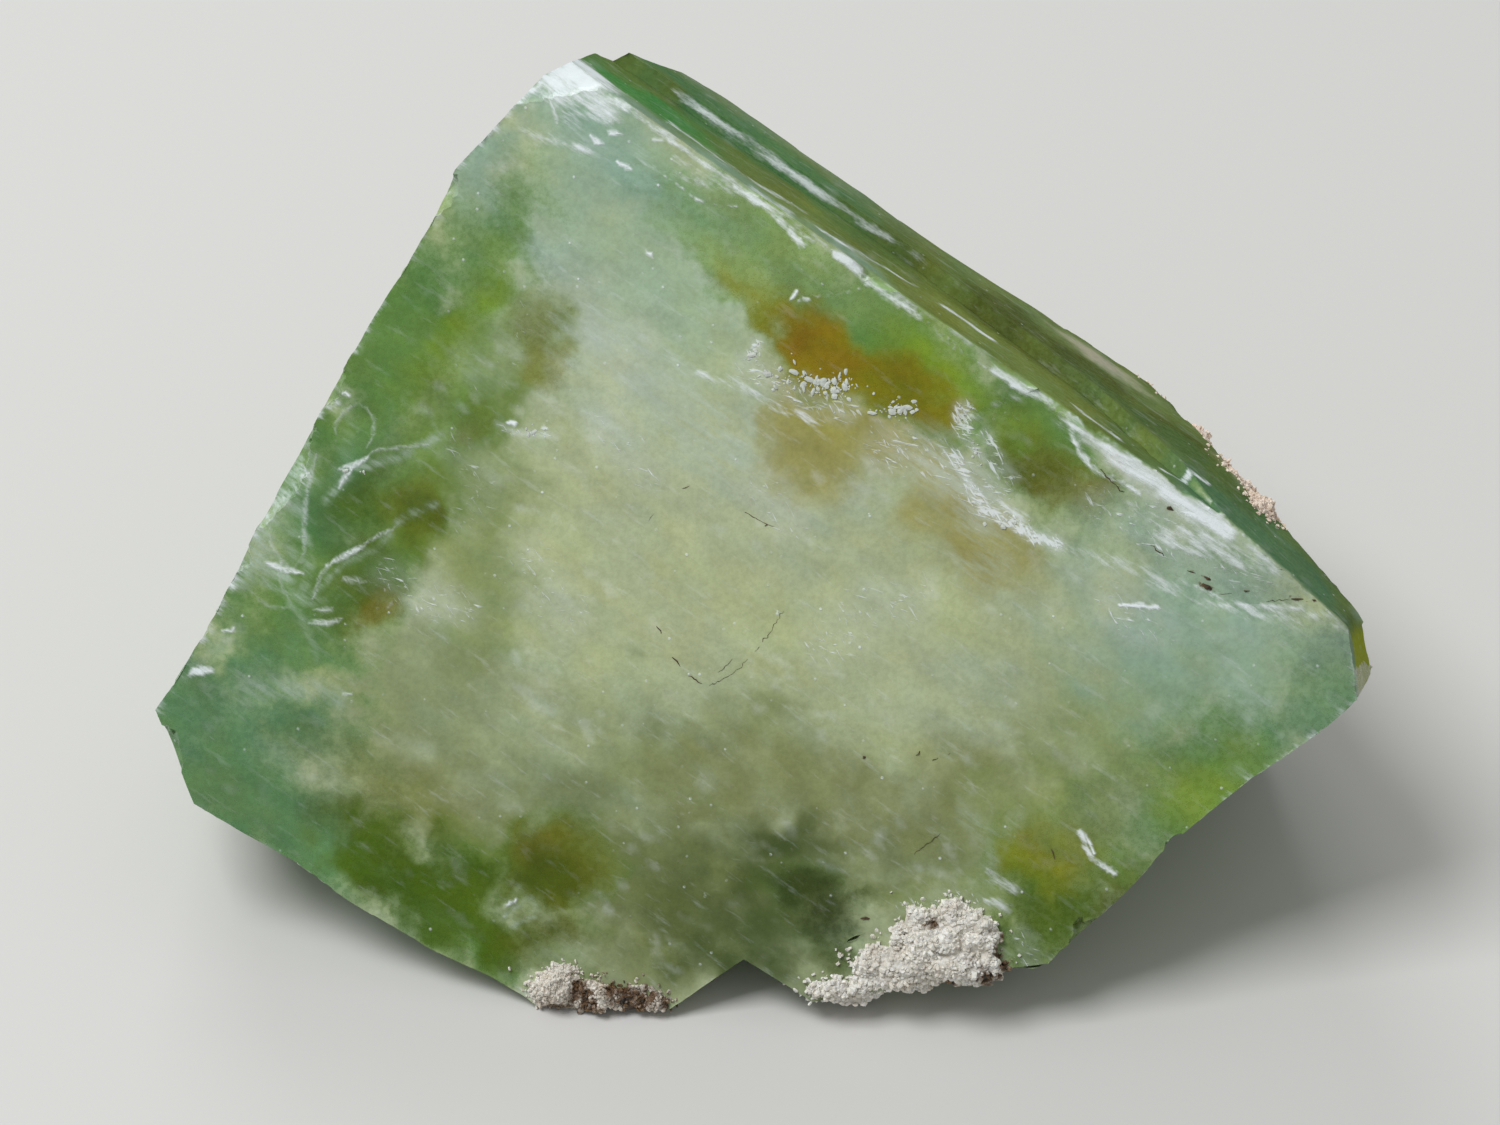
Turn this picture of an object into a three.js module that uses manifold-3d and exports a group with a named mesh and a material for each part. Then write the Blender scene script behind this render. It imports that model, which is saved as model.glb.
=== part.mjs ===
// A broken, blocky green apophyllite crystal that carries three crusts of stilbite.
// Millimetres, +Z up. The crystal stands on the flat break where it came off its rock,
// and its large front face leans back, turned a little to the left.
import * as THREE from "three";
import { mergeVertices } from "three/addons/utils/BufferGeometryUtils.js";
import Module from "manifold-3d";

const wasm = await Module();
wasm.setup();

// ---- Driving dimensions ----

const FACE_RISE = 34.9; // degrees that the front face's normal points above the horizon
const FACE_TURN = 7; // degrees that it is turned to the left of straight ahead
const FACE_HEIGHT = 16; // height of the front face's own origin above the ground
const CRUST_GAP = 0.3; // clearance between a crust and the crystal under it
const GROUND_GAP = 0.4; // clearance of the crusts above the ground
const GOLDEN_ANGLE = 2.39996; // turn between one blade of a crust and the next, in radians
const BLOCK = 120; // size of the raw block and of the cutters, well over the crystal's

// The outline of the front face, clockwise from the apex, as the walls that bound it.
// Each wall runs from one point of the face to another, in mm on the face, and flares
// outward by some degrees as it goes back. raise moves it out, and rough is the height
// of its broken relief.
const WALLS = {
  apexTop: { from: [-9.9, 19.25], to: [-8.0, 20.35], flare: 0 },
  upperRight: { from: [-6.0, 18.2], to: [19.7, 3.1], flare: 2, raise: 0.65 },
  upperRightEnd: { from: [19.7, 3.1], to: [24.5, -0.7], flare: 6 },
  rightTip: { from: [24.5, -0.7], to: [25.1, -3.3], flare: 11 },
  lowerRight: { from: [25.3, -3.5], to: [12.3, -16.4], flare: -3, rough: 0.35 },
  bottom: { from: [12.1, -16.3], to: [-5.9, -19.6], flare: 3, rough: 0.5 },
  lowerLeft: { from: [-7.9, -19.3], to: [-22.7, -12.1], flare: 3, rough: 0.35 },
  leftTip: { from: [-22.6, -11.7], to: [-24.2, -8.4], flare: 0 },
  upperLeft: { from: [-24.2, -7.9], to: [-13.2, 15.1], flare: 0, rough: 0.3 },
  apexLeft: { from: [-13.3, 15.1], to: [-9.9, 19.25], flare: 0 },
};

// The breaks at the back, each through three points in the row frame.
const BREAKS = {
  backTop: { through: [[-6, 17.6, 29], [-2.6, 22, 24.2], [-12, 20.5, 21]], rough: 0.5 },
  back: { through: [[-2.6, 22, 24.2], [14.2, 16.6, 14.2], [4, 21.6, 0]], rough: 1.1 },
  backRight: { through: [[17.6, 14.4, 13.2], [25.9, -2.6, 12.7], [20.5, 9.5, 0]], rough: 0.8 },
  backLeft: { through: [[-23.4, 6, 4.6], [-6, 21.5, 24], [-17, 14, 0]], rough: 1.0 },
};

const RELIEF_CELL = 1.4; // grid of the broken surfaces
const RELIEF_SPAN = 60; // width of the gridded part of a broken surface

// The growth step along the upper right wall: in front of this line, given as distance
// along the wall and depth behind the front face, the wall lies lower by its raise.
const STEP_LINE = [[-6, 8.0], [13, 8.6], [22, 6.0], [27.5, 1.6], [31, -1.5]];

// The bevelled tip of the front face: a line across the face, and how far it tilts back.
const APEX_BEVEL = { from: [-10.6, 16.9], to: [-6.0, 18.25], tilt: 16 };

// Shell-shaped chips out of the front face's edges: the wall, how far along it, the radius
// of the shell, how deep it bites, and how far it turns from the face towards the wall.
const CHIPS = [
  { wall: "upperLeft", along: 11.4, radius: 6.5, bite: 0.85, side: 0.8 },
  { wall: "upperLeft", along: 7.4, radius: 3.4, bite: 0.5, side: 0.25 },
  { wall: "upperLeft", along: 14.9, radius: 2.6, bite: 0.45, side: 1.2 },
  { wall: "upperLeft", along: 3.6, radius: 4.0, bite: 0.4, side: 1.0 },
  { wall: "upperLeft", along: 24.2, radius: 2.2, bite: 0.5, side: 0.8 },
  { wall: "upperRight", along: 5.8, radius: 3.5, bite: 0.25, side: 0.9 },
  { wall: "upperRight", along: 11.8, radius: 1.6, bite: 0.42, side: 0.8 },
  { wall: "upperRight", along: 18.6, radius: 4.2, bite: 0.35, side: 0.8 },
  { wall: "upperRight", along: 23.6, radius: 5.0, bite: 0.6, side: 0.7 },
  { wall: "upperRight", along: 27.6, radius: 3.6, bite: 0.55, side: 0.8 },
  { wall: "lowerRight", along: 3.2, radius: 3.0, bite: 0.25, side: 0.8 },
  { wall: "lowerRight", along: 9.8, radius: 4.2, bite: 0.4, side: 0.7 },
  { wall: "lowerRight", along: 15.0, radius: 3.0, bite: 0.4, side: 0.7 },
  { wall: "lowerLeft", along: 6.4, radius: 3.6, bite: 0.4, side: 0.7 },
  { wall: "lowerLeft", along: 12.2, radius: 3.0, bite: 0.35, side: 0.7 },
  { wall: "leftTip", along: 2.0, radius: 2.4, bite: 0.45, side: 1.0 },
];

// A thin flake missing beside the upper right edge, as an outline on the front face.
const SCAR = {
  depth: 0.28,
  outline: [
    [8.3, 6.6], [9.0, 5.0], [10.1, 3.2], [12.7, 1.9], [15.5, 0.9], [18.2, -0.1],
    [22.6, -0.5], [26.0, 1.0], [21.0, 6.0], [15.5, 9.5], [11.5, 8.2],
  ],
};

// The notch in the lower edge.
const NOTCH = { at: [0.9, -16.5], left: [-2.4, -19.2], right: [4.6, -18.4], depth: 9 };

// The hollows in which the two front crusts sit: where on the front face, half sizes along,
// across and deep, and the direction on the face.
const SEATS = {
  frontRight: { at: [7.9, -16.4, 0.5], half: [4.2, 2.5, 1.6], along: 12 },
  frontLeft: { at: [-5.2, -19.0, 0.4], half: [3.2, 1.5, 1.3], along: 8 },
};

// The stilbite crusts. at is on the front face or in the row frame, half is the size of
// the patch along, across and out, and blades is how many crystals stand on it.
const CRUSTS = {
  stilbite_front_right: {
    face: true, at: [7.8, -15.9, 0.05], half: [3.8, 1.8, 0.95], along: 12,
    blades: 28, blade: [0.7, 1.35], lean: 0.75, seed: 11,
  },
  stilbite_front_left: {
    face: true, at: [-5.1, -18.2, 0.0], half: [2.8, 1.1, 0.8], along: 9,
    blades: 17, blade: [0.6, 1.15], lean: 0.7, seed: 23,
  },
  stilbite_back: {
    face: false, at: [19.6, 10.6, 8.0], half: [7.4, 5.2, 1.2], along: 4,
    facing: [0.9, 0.44, 0], blades: 40, blade: [1.3, 2.4], lean: 0.6, seed: 41,
  },
};

const COLOURS = {
  apophyllite: { color: 0x8fa766, roughness: 0.3, metalness: 0 },
  stilbite: { color: 0xe2d6c8, roughness: 0.65, metalness: 0 },
};

// ---- The front face's frame ----

const rise = THREE.MathUtils.degToRad(FACE_RISE);
const turn = THREE.MathUtils.degToRad(FACE_TURN);
const FACE_N = new THREE.Vector3(
  -Math.sin(turn) * Math.cos(rise), -Math.cos(turn) * Math.cos(rise), Math.sin(rise),
);
const FACE_U = new THREE.Vector3(Math.cos(turn), -Math.sin(turn), 0);
const FACE_V = new THREE.Vector3().crossVectors(FACE_N, FACE_U);
const FACE_FRAME = new THREE.Matrix4()
  .makeBasis(FACE_U, FACE_V, FACE_N)
  .setPosition(0, 0, FACE_HEIGHT);

// A point given on the front face, in the row frame.
function onFace([u, v, w = 0]) {
  return new THREE.Vector3(u, v, w).applyMatrix4(FACE_FRAME);
}

// ---- Noise and chance ----

// A number from 0 to 1 for each whole-numbered place.
function hash(x, y, z, seed) {
  const mixed = Math.sin(x * 127.1 + y * 311.7 + z * 74.7 + seed * 53.3) * 43758.5453;
  return mixed - Math.floor(mixed);
}

// Smooth noise from -1 to 1 with features about one unit across.
function noise(x, y, z, seed) {
  const cell = [Math.floor(x), Math.floor(y), Math.floor(z)];
  const ease = [x - cell[0], y - cell[1], z - cell[2]].map((t) => t * t * (3 - 2 * t));
  let sum = 0;
  for (let corner = 0; corner < 8; corner++) {
    const step = [corner & 1, (corner >> 1) & 1, corner >> 2];
    const weight = step.reduce((w, s, i) => w * (s ? ease[i] : 1 - ease[i]), 1);
    sum += weight * hash(cell[0] + step[0], cell[1] + step[1], cell[2] + step[2], seed);
  }
  return sum * 2 - 1;
}

// The relief of a broken surface: broad swells, with ledges where the crystal cleaved.
function brokenRelief(height, seed) {
  const swell = 9;
  const ripple = 3.4;
  const ledges = 2.2;
  return (x, y) => {
    const broad = noise(x / swell, y / swell, 0, seed);
    const fine = noise(x / ripple, y / ripple, 5, seed);
    const level = (broad + 0.45 * fine) * ledges;
    const shelf = Math.floor(level) + THREE.MathUtils.smoothstep(level - Math.floor(level), 0.35, 0.8);
    return height * (0.5 * shelf / ledges + 0.5 * broad + 0.28 * fine);
  };
}

// A repeatable stream of numbers from 0 to 1.
function chance(seed) {
  let n = 0;
  return () => hash(n++, seed, 3, seed * 1.7);
}

// ---- Solids ----

// A closed geometry as a solid.
function solidOf(geometry) {
  const bare = geometry.clone();
  bare.deleteAttribute("normal");
  bare.deleteAttribute("uv");
  const merged = mergeVertices(bare, 1e-4);
  return new wasm.Manifold(
    new wasm.Mesh({
      numProp: 3,
      vertProperties: merged.attributes.position.array,
      triVerts: new Uint32Array(merged.index.array),
    }),
  );
}

// The largest piece of a solid, without the crumbs that a cut leaves.
function largestPiece(solid) {
  return solid.decompose().sort((a, b) => b.volume() - a.volume())[0];
}

// A solid as a named mesh.
function meshOf(solid, name, look) {
  const { numProp, numVert, vertProperties, triVerts } = solid.getMesh();
  const places = new Float32Array(numVert * 3);
  for (let i = 0; i < numVert; i++) {
    places.set(vertProperties.subarray(i * numProp, i * numProp + 3), i * 3);
  }
  const geometry = new THREE.BufferGeometry();
  geometry.setAttribute("position", new THREE.BufferAttribute(places, 3));
  geometry.setIndex(new THREE.BufferAttribute(triVerts, 1));
  const mesh = new THREE.Mesh(geometry, new THREE.MeshStandardMaterial(look));
  mesh.name = name;
  return mesh;
}

// The frame of a plane: z along its normal, x along the given direction.
function planeFrame(point, normal, along) {
  const z = normal.clone().normalize();
  const y = new THREE.Vector3().crossVectors(z, along).normalize();
  const x = new THREE.Vector3().crossVectors(y, z);
  return new THREE.Matrix4().makeBasis(x, y, z).setPosition(point);
}

// Everything on the outer side of a plane, as a block whose inner side is flat or broken.
function outside(frame, relief) {
  const cells = relief ? Math.round(RELIEF_SPAN / RELIEF_CELL) : 1;
  const span = relief ? RELIEF_SPAN : BLOCK;
  const block = new THREE.BoxGeometry(span, span, BLOCK / 2, cells, cells, 1);
  block.translate(0, 0, BLOCK / 4);
  if (relief) {
    const at = block.attributes.position;
    for (let i = 0; i < at.count; i++) {
      if (at.getZ(i) < 1e-6) at.setZ(i, relief(at.getX(i), at.getY(i)));
    }
  }
  return solidOf(block.applyMatrix4(frame));
}

// The frame of a wall of the front face's outline.
function wallFrame({ from, to, flare, raise = 0 }) {
  const start = onFace(from);
  const end = onFace(to);
  const along = end.clone().sub(start).normalize();
  const out = new THREE.Vector3().crossVectors(FACE_N, along);
  const lean = THREE.MathUtils.degToRad(flare);
  const normal = out.clone().multiplyScalar(Math.cos(lean)).addScaledVector(FACE_N, Math.sin(lean));
  const middle = start.add(end).multiplyScalar(0.5).addScaledVector(normal, raise);
  return planeFrame(middle, normal, along);
}

// The frame of a break through three points, facing away from the crystal's inside.
function breakFrame(through) {
  const [a, b, c] = through.map((p) => new THREE.Vector3(...p));
  const along = b.clone().sub(a);
  const normal = new THREE.Vector3().crossVectors(along, c.clone().sub(a));
  const inside = onFace([0, 0, -6]);
  if (normal.dot(inside.sub(a)) > 0) normal.negate();
  return planeFrame(a.add(b).add(c).divideScalar(3), normal, along);
}

// A lumpy rounded shape, for hollows and for the body of a crust.
function lump({ half, along }, seed, lumps) {
  const ball = new THREE.SphereGeometry(1, 16, 10);
  const at = ball.attributes.position;
  for (let i = 0; i < at.count; i++) {
    const [x, y, z] = [at.getX(i), at.getY(i), at.getZ(i)];
    const swell = 1 + lumps * noise(x * 2.1 + 7, y * 2.1, z * 2.1, seed);
    at.setXYZ(i, x * swell * half[0], y * swell * half[1], z * swell * half[2]);
  }
  return ball.rotateZ(THREE.MathUtils.degToRad(along));
}

// ---- The crystal ----

// The block bounded by the front face, its walls, the breaks and the ground.
function crystalBlock() {
  const raw = new THREE.BoxGeometry(BLOCK, BLOCK, BLOCK);
  const ground = planeFrame(
    new THREE.Vector3(), new THREE.Vector3(0, 0, -1), new THREE.Vector3(1, 0, 0),
  );
  let block = solidOf(raw).subtract(outside(FACE_FRAME)).subtract(outside(ground));
  Object.values(WALLS).forEach((wall, i) => {
    const relief = wall.rough ? brokenRelief(wall.rough, i + 1) : null;
    block = block.subtract(outside(wallFrame(wall), relief));
  });
  Object.values(BREAKS).forEach(({ through, rough }, i) => {
    block = block.subtract(outside(breakFrame(through), brokenRelief(rough, i + 31)));
  });
  return block;
}

// The layer that is missing from the front part of the upper right wall.
function growthStep() {
  const wall = { ...WALLS.upperRight, raise: 0 };
  const front = 12;
  const [first, last] = [STEP_LINE[0], STEP_LINE.at(-1)];
  const shape = new THREE.Shape([
    new THREE.Vector2(first[0] - front, -front),
    new THREE.Vector2(last[0] + front, -front),
    new THREE.Vector2(last[0] + front, last[1]),
    ...STEP_LINE.map(([x, depth]) => new THREE.Vector2(x, depth)).reverse(),
    new THREE.Vector2(first[0] - front, first[1]),
  ]);
  const layer = new THREE.ExtrudeGeometry(shape, { depth: BLOCK / 4, bevelEnabled: false });
  return solidOf(layer.applyMatrix4(wallFrame(wall).setPosition(onFace(wall.from))));
}

// The bevelled tip of the front face.
function apexBevel() {
  const start = onFace(APEX_BEVEL.from);
  const along = onFace(APEX_BEVEL.to).sub(start).normalize();
  const up = new THREE.Vector3().crossVectors(FACE_N, along);
  const tilt = THREE.MathUtils.degToRad(APEX_BEVEL.tilt);
  const normal = FACE_N.clone().multiplyScalar(Math.cos(tilt)).addScaledVector(up, Math.sin(tilt));
  return outside(planeFrame(start, normal, along));
}

// A prism through an outline on the front face, from one level to another.
function facePrism(outline, from, to) {
  const shape = new THREE.Shape(outline.map(([u, v]) => new THREE.Vector2(u, v)));
  const prism = new THREE.ExtrudeGeometry(shape, { depth: to - from, bevelEnabled: false });
  return solidOf(prism.translate(0, 0, from).applyMatrix4(FACE_FRAME));
}

// A lumpy hollow in the front face.
function hollow(seat, seed) {
  return solidOf(lump(seat, seed, 0.16).translate(...seat.at).applyMatrix4(FACE_FRAME));
}

// A shell-shaped chip out of an edge of the front face.
function chip({ wall, along, radius, bite, side }, seed) {
  const { from, to } = WALLS[wall];
  const run = onFace(to).sub(onFace(from)).normalize();
  const outward = new THREE.Vector3().crossVectors(FACE_N, run).multiplyScalar(side).add(FACE_N);
  const centre = onFace(from).addScaledVector(run, along);
  centre.addScaledVector(outward.normalize(), radius - bite);
  const ball = lump({ half: [radius, radius, radius], along: 0 }, seed, bite / radius / 2);
  return solidOf(ball.translate(centre.x, centre.y, centre.z));
}

function apophylliteCrystal() {
  let crystal = crystalBlock().subtract(growthStep()).subtract(apexBevel());
  const { at, left, right, depth } = NOTCH;
  crystal = crystal.subtract(facePrism([at, left, [left[0], -30], [right[0], -30], right], -depth, 5));
  crystal = crystal.subtract(facePrism(SCAR.outline, -SCAR.depth, 5));
  CHIPS.forEach((place, i) => {
    crystal = crystal.subtract(chip(place, i + 61));
  });
  Object.values(SEATS).forEach((seat, i) => {
    crystal = crystal.subtract(hollow(seat, i + 91));
  });
  return largestPiece(crystal);
}

// ---- The stilbite ----

// One stilbite crystal: a thin lath with a pointed end, rooted at the origin, along +Z.
function blade(length, width, thickness) {
  const shape = new THREE.Shape([
    new THREE.Vector2(-width / 2, -length * 0.4),
    new THREE.Vector2(width / 2, -length * 0.4),
    new THREE.Vector2(width / 2, length - width * 0.45),
    new THREE.Vector2(0, length),
    new THREE.Vector2(-width / 2, length - width * 0.45),
  ]);
  const lath = new THREE.ExtrudeGeometry(shape, { depth: thickness, bevelEnabled: false });
  return lath.translate(0, 0, -thickness / 2).rotateX(Math.PI / 2);
}

// A crust: a lumpy body with blades standing on it, cut back from the crystal and ground.
function crust(spec, crystal) {
  const { at, half, along, seed } = spec;
  const frame = spec.face
    ? FACE_FRAME.clone().multiply(new THREE.Matrix4().makeTranslation(...at))
    : planeFrame(
        new THREE.Vector3(...at), new THREE.Vector3(...spec.facing), new THREE.Vector3(-0.44, 0.9, 0),
      );
  const outward = new THREE.Vector3();
  frame.extractBasis(new THREE.Vector3(), new THREE.Vector3(), outward);
  let body = solidOf(lump({ half, along }, seed, 0.3).applyMatrix4(frame));
  const roll = chance(seed);
  const heading = THREE.MathUtils.degToRad(along);
  for (let i = 0; i < spec.blades; i++) {
    const reach = 0.95 * Math.sqrt((i + 0.3 + 0.5 * roll()) / spec.blades);
    const round = GOLDEN_ANGLE * (i + 0.35 * roll());
    const [x, y] = [reach * Math.cos(round) * half[0], reach * Math.sin(round) * half[1]];
    const height = half[2] * Math.sqrt(1 - reach * reach) * 0.7;
    const length = THREE.MathUtils.lerp(...spec.blade, roll());
    const lath = blade(length, length * (0.42 + 0.2 * roll()), length * (0.2 + 0.12 * roll()));
    lath.rotateZ(Math.PI * roll());
    lath.rotateX((roll() - 0.5) * 2 * spec.lean - 0.5 * reach * Math.sin(round));
    lath.rotateY((roll() - 0.5) * 2 * spec.lean + 0.5 * reach * Math.cos(round));
    lath.translate(x, y, height - 0.25 * length);
    body = body.add(solidOf(lath.rotateZ(heading).applyMatrix4(frame)));
  }
  const lifted = crystal.translate(outward.clone().multiplyScalar(CRUST_GAP).toArray());
  const ground = planeFrame(
    new THREE.Vector3(0, 0, GROUND_GAP), new THREE.Vector3(0, 0, -1), new THREE.Vector3(1, 0, 0),
  );
  return largestPiece(body.subtract(lifted).subtract(crystal).subtract(outside(ground)));
}

// ---- The specimen ----

const specimen = new THREE.Group();
const crystal = apophylliteCrystal();
specimen.add(meshOf(crystal, "apophyllite_crystal", COLOURS.apophyllite));
for (const [name, spec] of Object.entries(CRUSTS)) {
  specimen.add(meshOf(crust(spec, crystal), name, COLOURS.stilbite));
}

// The origin is the middle of the footprint's bounding box, on the ground.
const bounds = new THREE.Box3().setFromObject(specimen);
const middle = bounds.getCenter(new THREE.Vector3());
specimen.position.set(-middle.x, -middle.y, -bounds.min.z);

export default specimen;
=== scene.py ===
"""Looks of a broken green apophyllite crystal that carries crusts of stilbite."""

import math

import bmesh
import bpy
import numpy as np
from mathutils import Matrix, Vector, geometry, kdtree


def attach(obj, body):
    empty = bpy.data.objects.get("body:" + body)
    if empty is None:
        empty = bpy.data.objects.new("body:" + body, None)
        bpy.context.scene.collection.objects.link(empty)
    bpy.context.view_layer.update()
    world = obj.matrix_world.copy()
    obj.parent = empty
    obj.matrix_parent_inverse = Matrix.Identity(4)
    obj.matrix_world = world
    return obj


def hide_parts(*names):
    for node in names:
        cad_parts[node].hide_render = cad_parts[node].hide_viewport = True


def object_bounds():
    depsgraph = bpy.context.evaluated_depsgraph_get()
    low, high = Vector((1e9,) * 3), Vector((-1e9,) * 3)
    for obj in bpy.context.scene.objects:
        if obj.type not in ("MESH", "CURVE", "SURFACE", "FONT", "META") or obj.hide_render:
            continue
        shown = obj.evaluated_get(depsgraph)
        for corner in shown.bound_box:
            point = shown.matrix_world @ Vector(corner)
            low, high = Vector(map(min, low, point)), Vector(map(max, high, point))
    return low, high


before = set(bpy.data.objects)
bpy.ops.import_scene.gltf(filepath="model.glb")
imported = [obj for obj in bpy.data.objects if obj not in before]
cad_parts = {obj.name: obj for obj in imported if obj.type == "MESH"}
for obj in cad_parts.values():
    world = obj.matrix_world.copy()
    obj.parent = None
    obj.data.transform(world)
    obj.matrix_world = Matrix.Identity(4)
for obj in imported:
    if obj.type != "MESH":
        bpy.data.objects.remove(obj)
CAD_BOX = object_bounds()

MM = 0.001  # all shapes below are worked out in millimetres

# ---- The crystal's own directions, the same values as in the part's source ----

FACE_RISE = math.radians(34.9)  # front face's normal above the horizon
FACE_TURN = math.radians(7.0)  # and how far it turns to the left
FACE_ORIGIN = np.array([-0.551, -6.651, 16.0])  # the face's own origin, in the frame in mm
UPPER_EDGE = ((-6.0, 18.2), (19.7, 3.1))  # upper right edge of the face, on the face
UPPER_FLARE = math.radians(2.0)  # how far the wall behind that edge flares outward
EDGE_SLOPE = math.radians(30.4)  # how steeply that edge falls to the right

FACE_N = np.array([
    -math.sin(FACE_TURN) * math.cos(FACE_RISE),
    -math.cos(FACE_TURN) * math.cos(FACE_RISE),
    math.sin(FACE_RISE),
])
FACE_U = np.array([math.cos(FACE_TURN), -math.sin(FACE_TURN), 0.0])
FACE_V = np.cross(FACE_N, FACE_U)

# The thin flake missing beside the upper right edge: its outline on the face, its depth,
# and how wide its worn step is to either side of the outline.
SCAR = [
    (8.3, 6.6), (9.0, 5.0), (10.1, 3.2), (12.7, 1.9), (15.5, 0.9), (18.2, -0.1),
    (22.6, -0.5), (26.0, 1.0), (21.0, 6.0), (15.5, 9.5), (11.5, 8.2),
]
SCAR_DEPTH = 0.28
SCAR_SLOPE = 0.9

# The hollows of the two front crusts, which are filled up to where the crusts begin:
# middle on the face, half sizes, and how far they are turned in degrees.
SEATS = [
    ((7.9, -16.4), (4.2, 2.5), 12),
    ((-5.2, -19.0), (3.2, 1.5), 8),
]

# ---- How finely each kind of surface is divided, in mm ----

FINE = 0.17  # the front face
MEDIUM = 0.3  # the upper right wall and the breaks
COARSE = 1.2  # the flat base
ROW_HEIGHT = 0.866  # from one row of points to the next, as a share of these
JITTER = 0.22  # how unevenly the points lie in a row, as a share of these
CLEARANCE = 0.62  # how far they stay from the points on a face's edges, as a share of these
CRUST_SPACING = 0.2  # the bodies of the crusts
CRUST_JITTER = 0.34  # how unevenly their points lie, as a share of it
FIBRE_SPACING = 0.12  # along the lint
FIBRE_SIDES = 5  # round the lint

# ---- Other lengths, in mm ----

TINY = 1e-12  # the least length that a vector is divided by
FAR = 99.0  # farther than anything here is from anything else
BOX_GAP = 0.001  # the least gap between the looks and the CAD model's box

# ---- The seeds of the random draws ----

POINTS_SEED = 7
CRUMBS_SEED = 81
DIRT_SEED = 91
RIGHT_SEED = 101
LEFT_SEED = 102
BACK_SEED = 103

# ---- Colours, as linear red, green and blue ----


def srgb(red, green, blue):
    """A colour given as screen values from 0 to 255, as linear light."""
    return tuple(((c / 255 + 0.055) / 1.055) ** 2.4 for c in (red, green, blue))


PALE = srgb(160, 171, 136)
CREAM = srgb(166, 176, 138)
# Milk and mist are partly the cloud's own tone, partly painted reflection.
MILK_AND_SHEEN = srgb(172, 182, 158)
MIST_AND_SHEEN = srgb(150, 172, 146)
HAZE = srgb(132, 160, 136)
SAGE = srgb(128, 150, 100)
DUSK = srgb(104, 114, 70)
FAWN = srgb(119, 126, 80)
HAY = srgb(122, 138, 80)
CLOVER = srgb(98, 130, 58)
THYME = srgb(98, 120, 62)
DRAB = srgb(92, 108, 32)
PINE = srgb(66, 82, 42)
SHADE = srgb(128, 141, 102)
OCHRE = srgb(146, 143, 84)
LEAF = srgb(112, 156, 76)
MEADOW = srgb(142, 176, 40)
JADE = srgb(102, 150, 102)
MOSS = srgb(84, 116, 0)
FERN = srgb(94, 110, 0)
SPRING = srgb(142, 176, 102)
FROND = srgb(114, 158, 100)
OLIVE = srgb(116, 122, 20)
BOTTLE = srgb(52, 70, 10)
AMBER = srgb(164, 128, 0)
RUST = srgb(152, 144, 0)
GOLD = srgb(140, 136, 48)
LEMON = srgb(150, 158, 24)
GLASS = srgb(60, 128, 62)
GLASS_OLIVE = srgb(96, 116, 60)
GLASS_DARK = srgb(66, 74, 6)
GLASS_MOSS = srgb(108, 118, 38)
GLASS_GREY = srgb(104, 126, 98)
GLASS_PALE = srgb(100, 114, 62)
GLASS_MIST = srgb(120, 146, 122)
GLASS_JADE = srgb(66, 112, 70)
GLASS_DULL = srgb(66, 108, 78)
GLASS_DEEP = srgb(62, 88, 38)
# The white of frost and bruises, which also paints glints and sheen.
FROST_AND_GLINT_WHITE = srgb(228, 235, 240)
PEACH = srgb(220, 200, 182)
CHALK = srgb(176, 172, 152)
VEIL = srgb(172, 190, 178)
LACE = srgb(178, 188, 180)
SOIL = srgb(92, 70, 42)
PEARL_SHEEN = srgb(250, 247, 240)
GRIME = srgb(96, 70, 44)
SOOT = srgb(30, 24, 18)
WHITE_PALE = srgb(234, 231, 222)
WHITE_SHADE = srgb(212, 204, 190)
BROWN_PALE = srgb(226, 220, 208)
BROWN_SHADE = srgb(196, 182, 164)
PEACH_PALE = srgb(230, 212, 194)
PEACH_SHADE = srgb(214, 188, 166)
CRUMB = srgb(186, 192, 184)
LINT = srgb(70, 54, 34)

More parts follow.
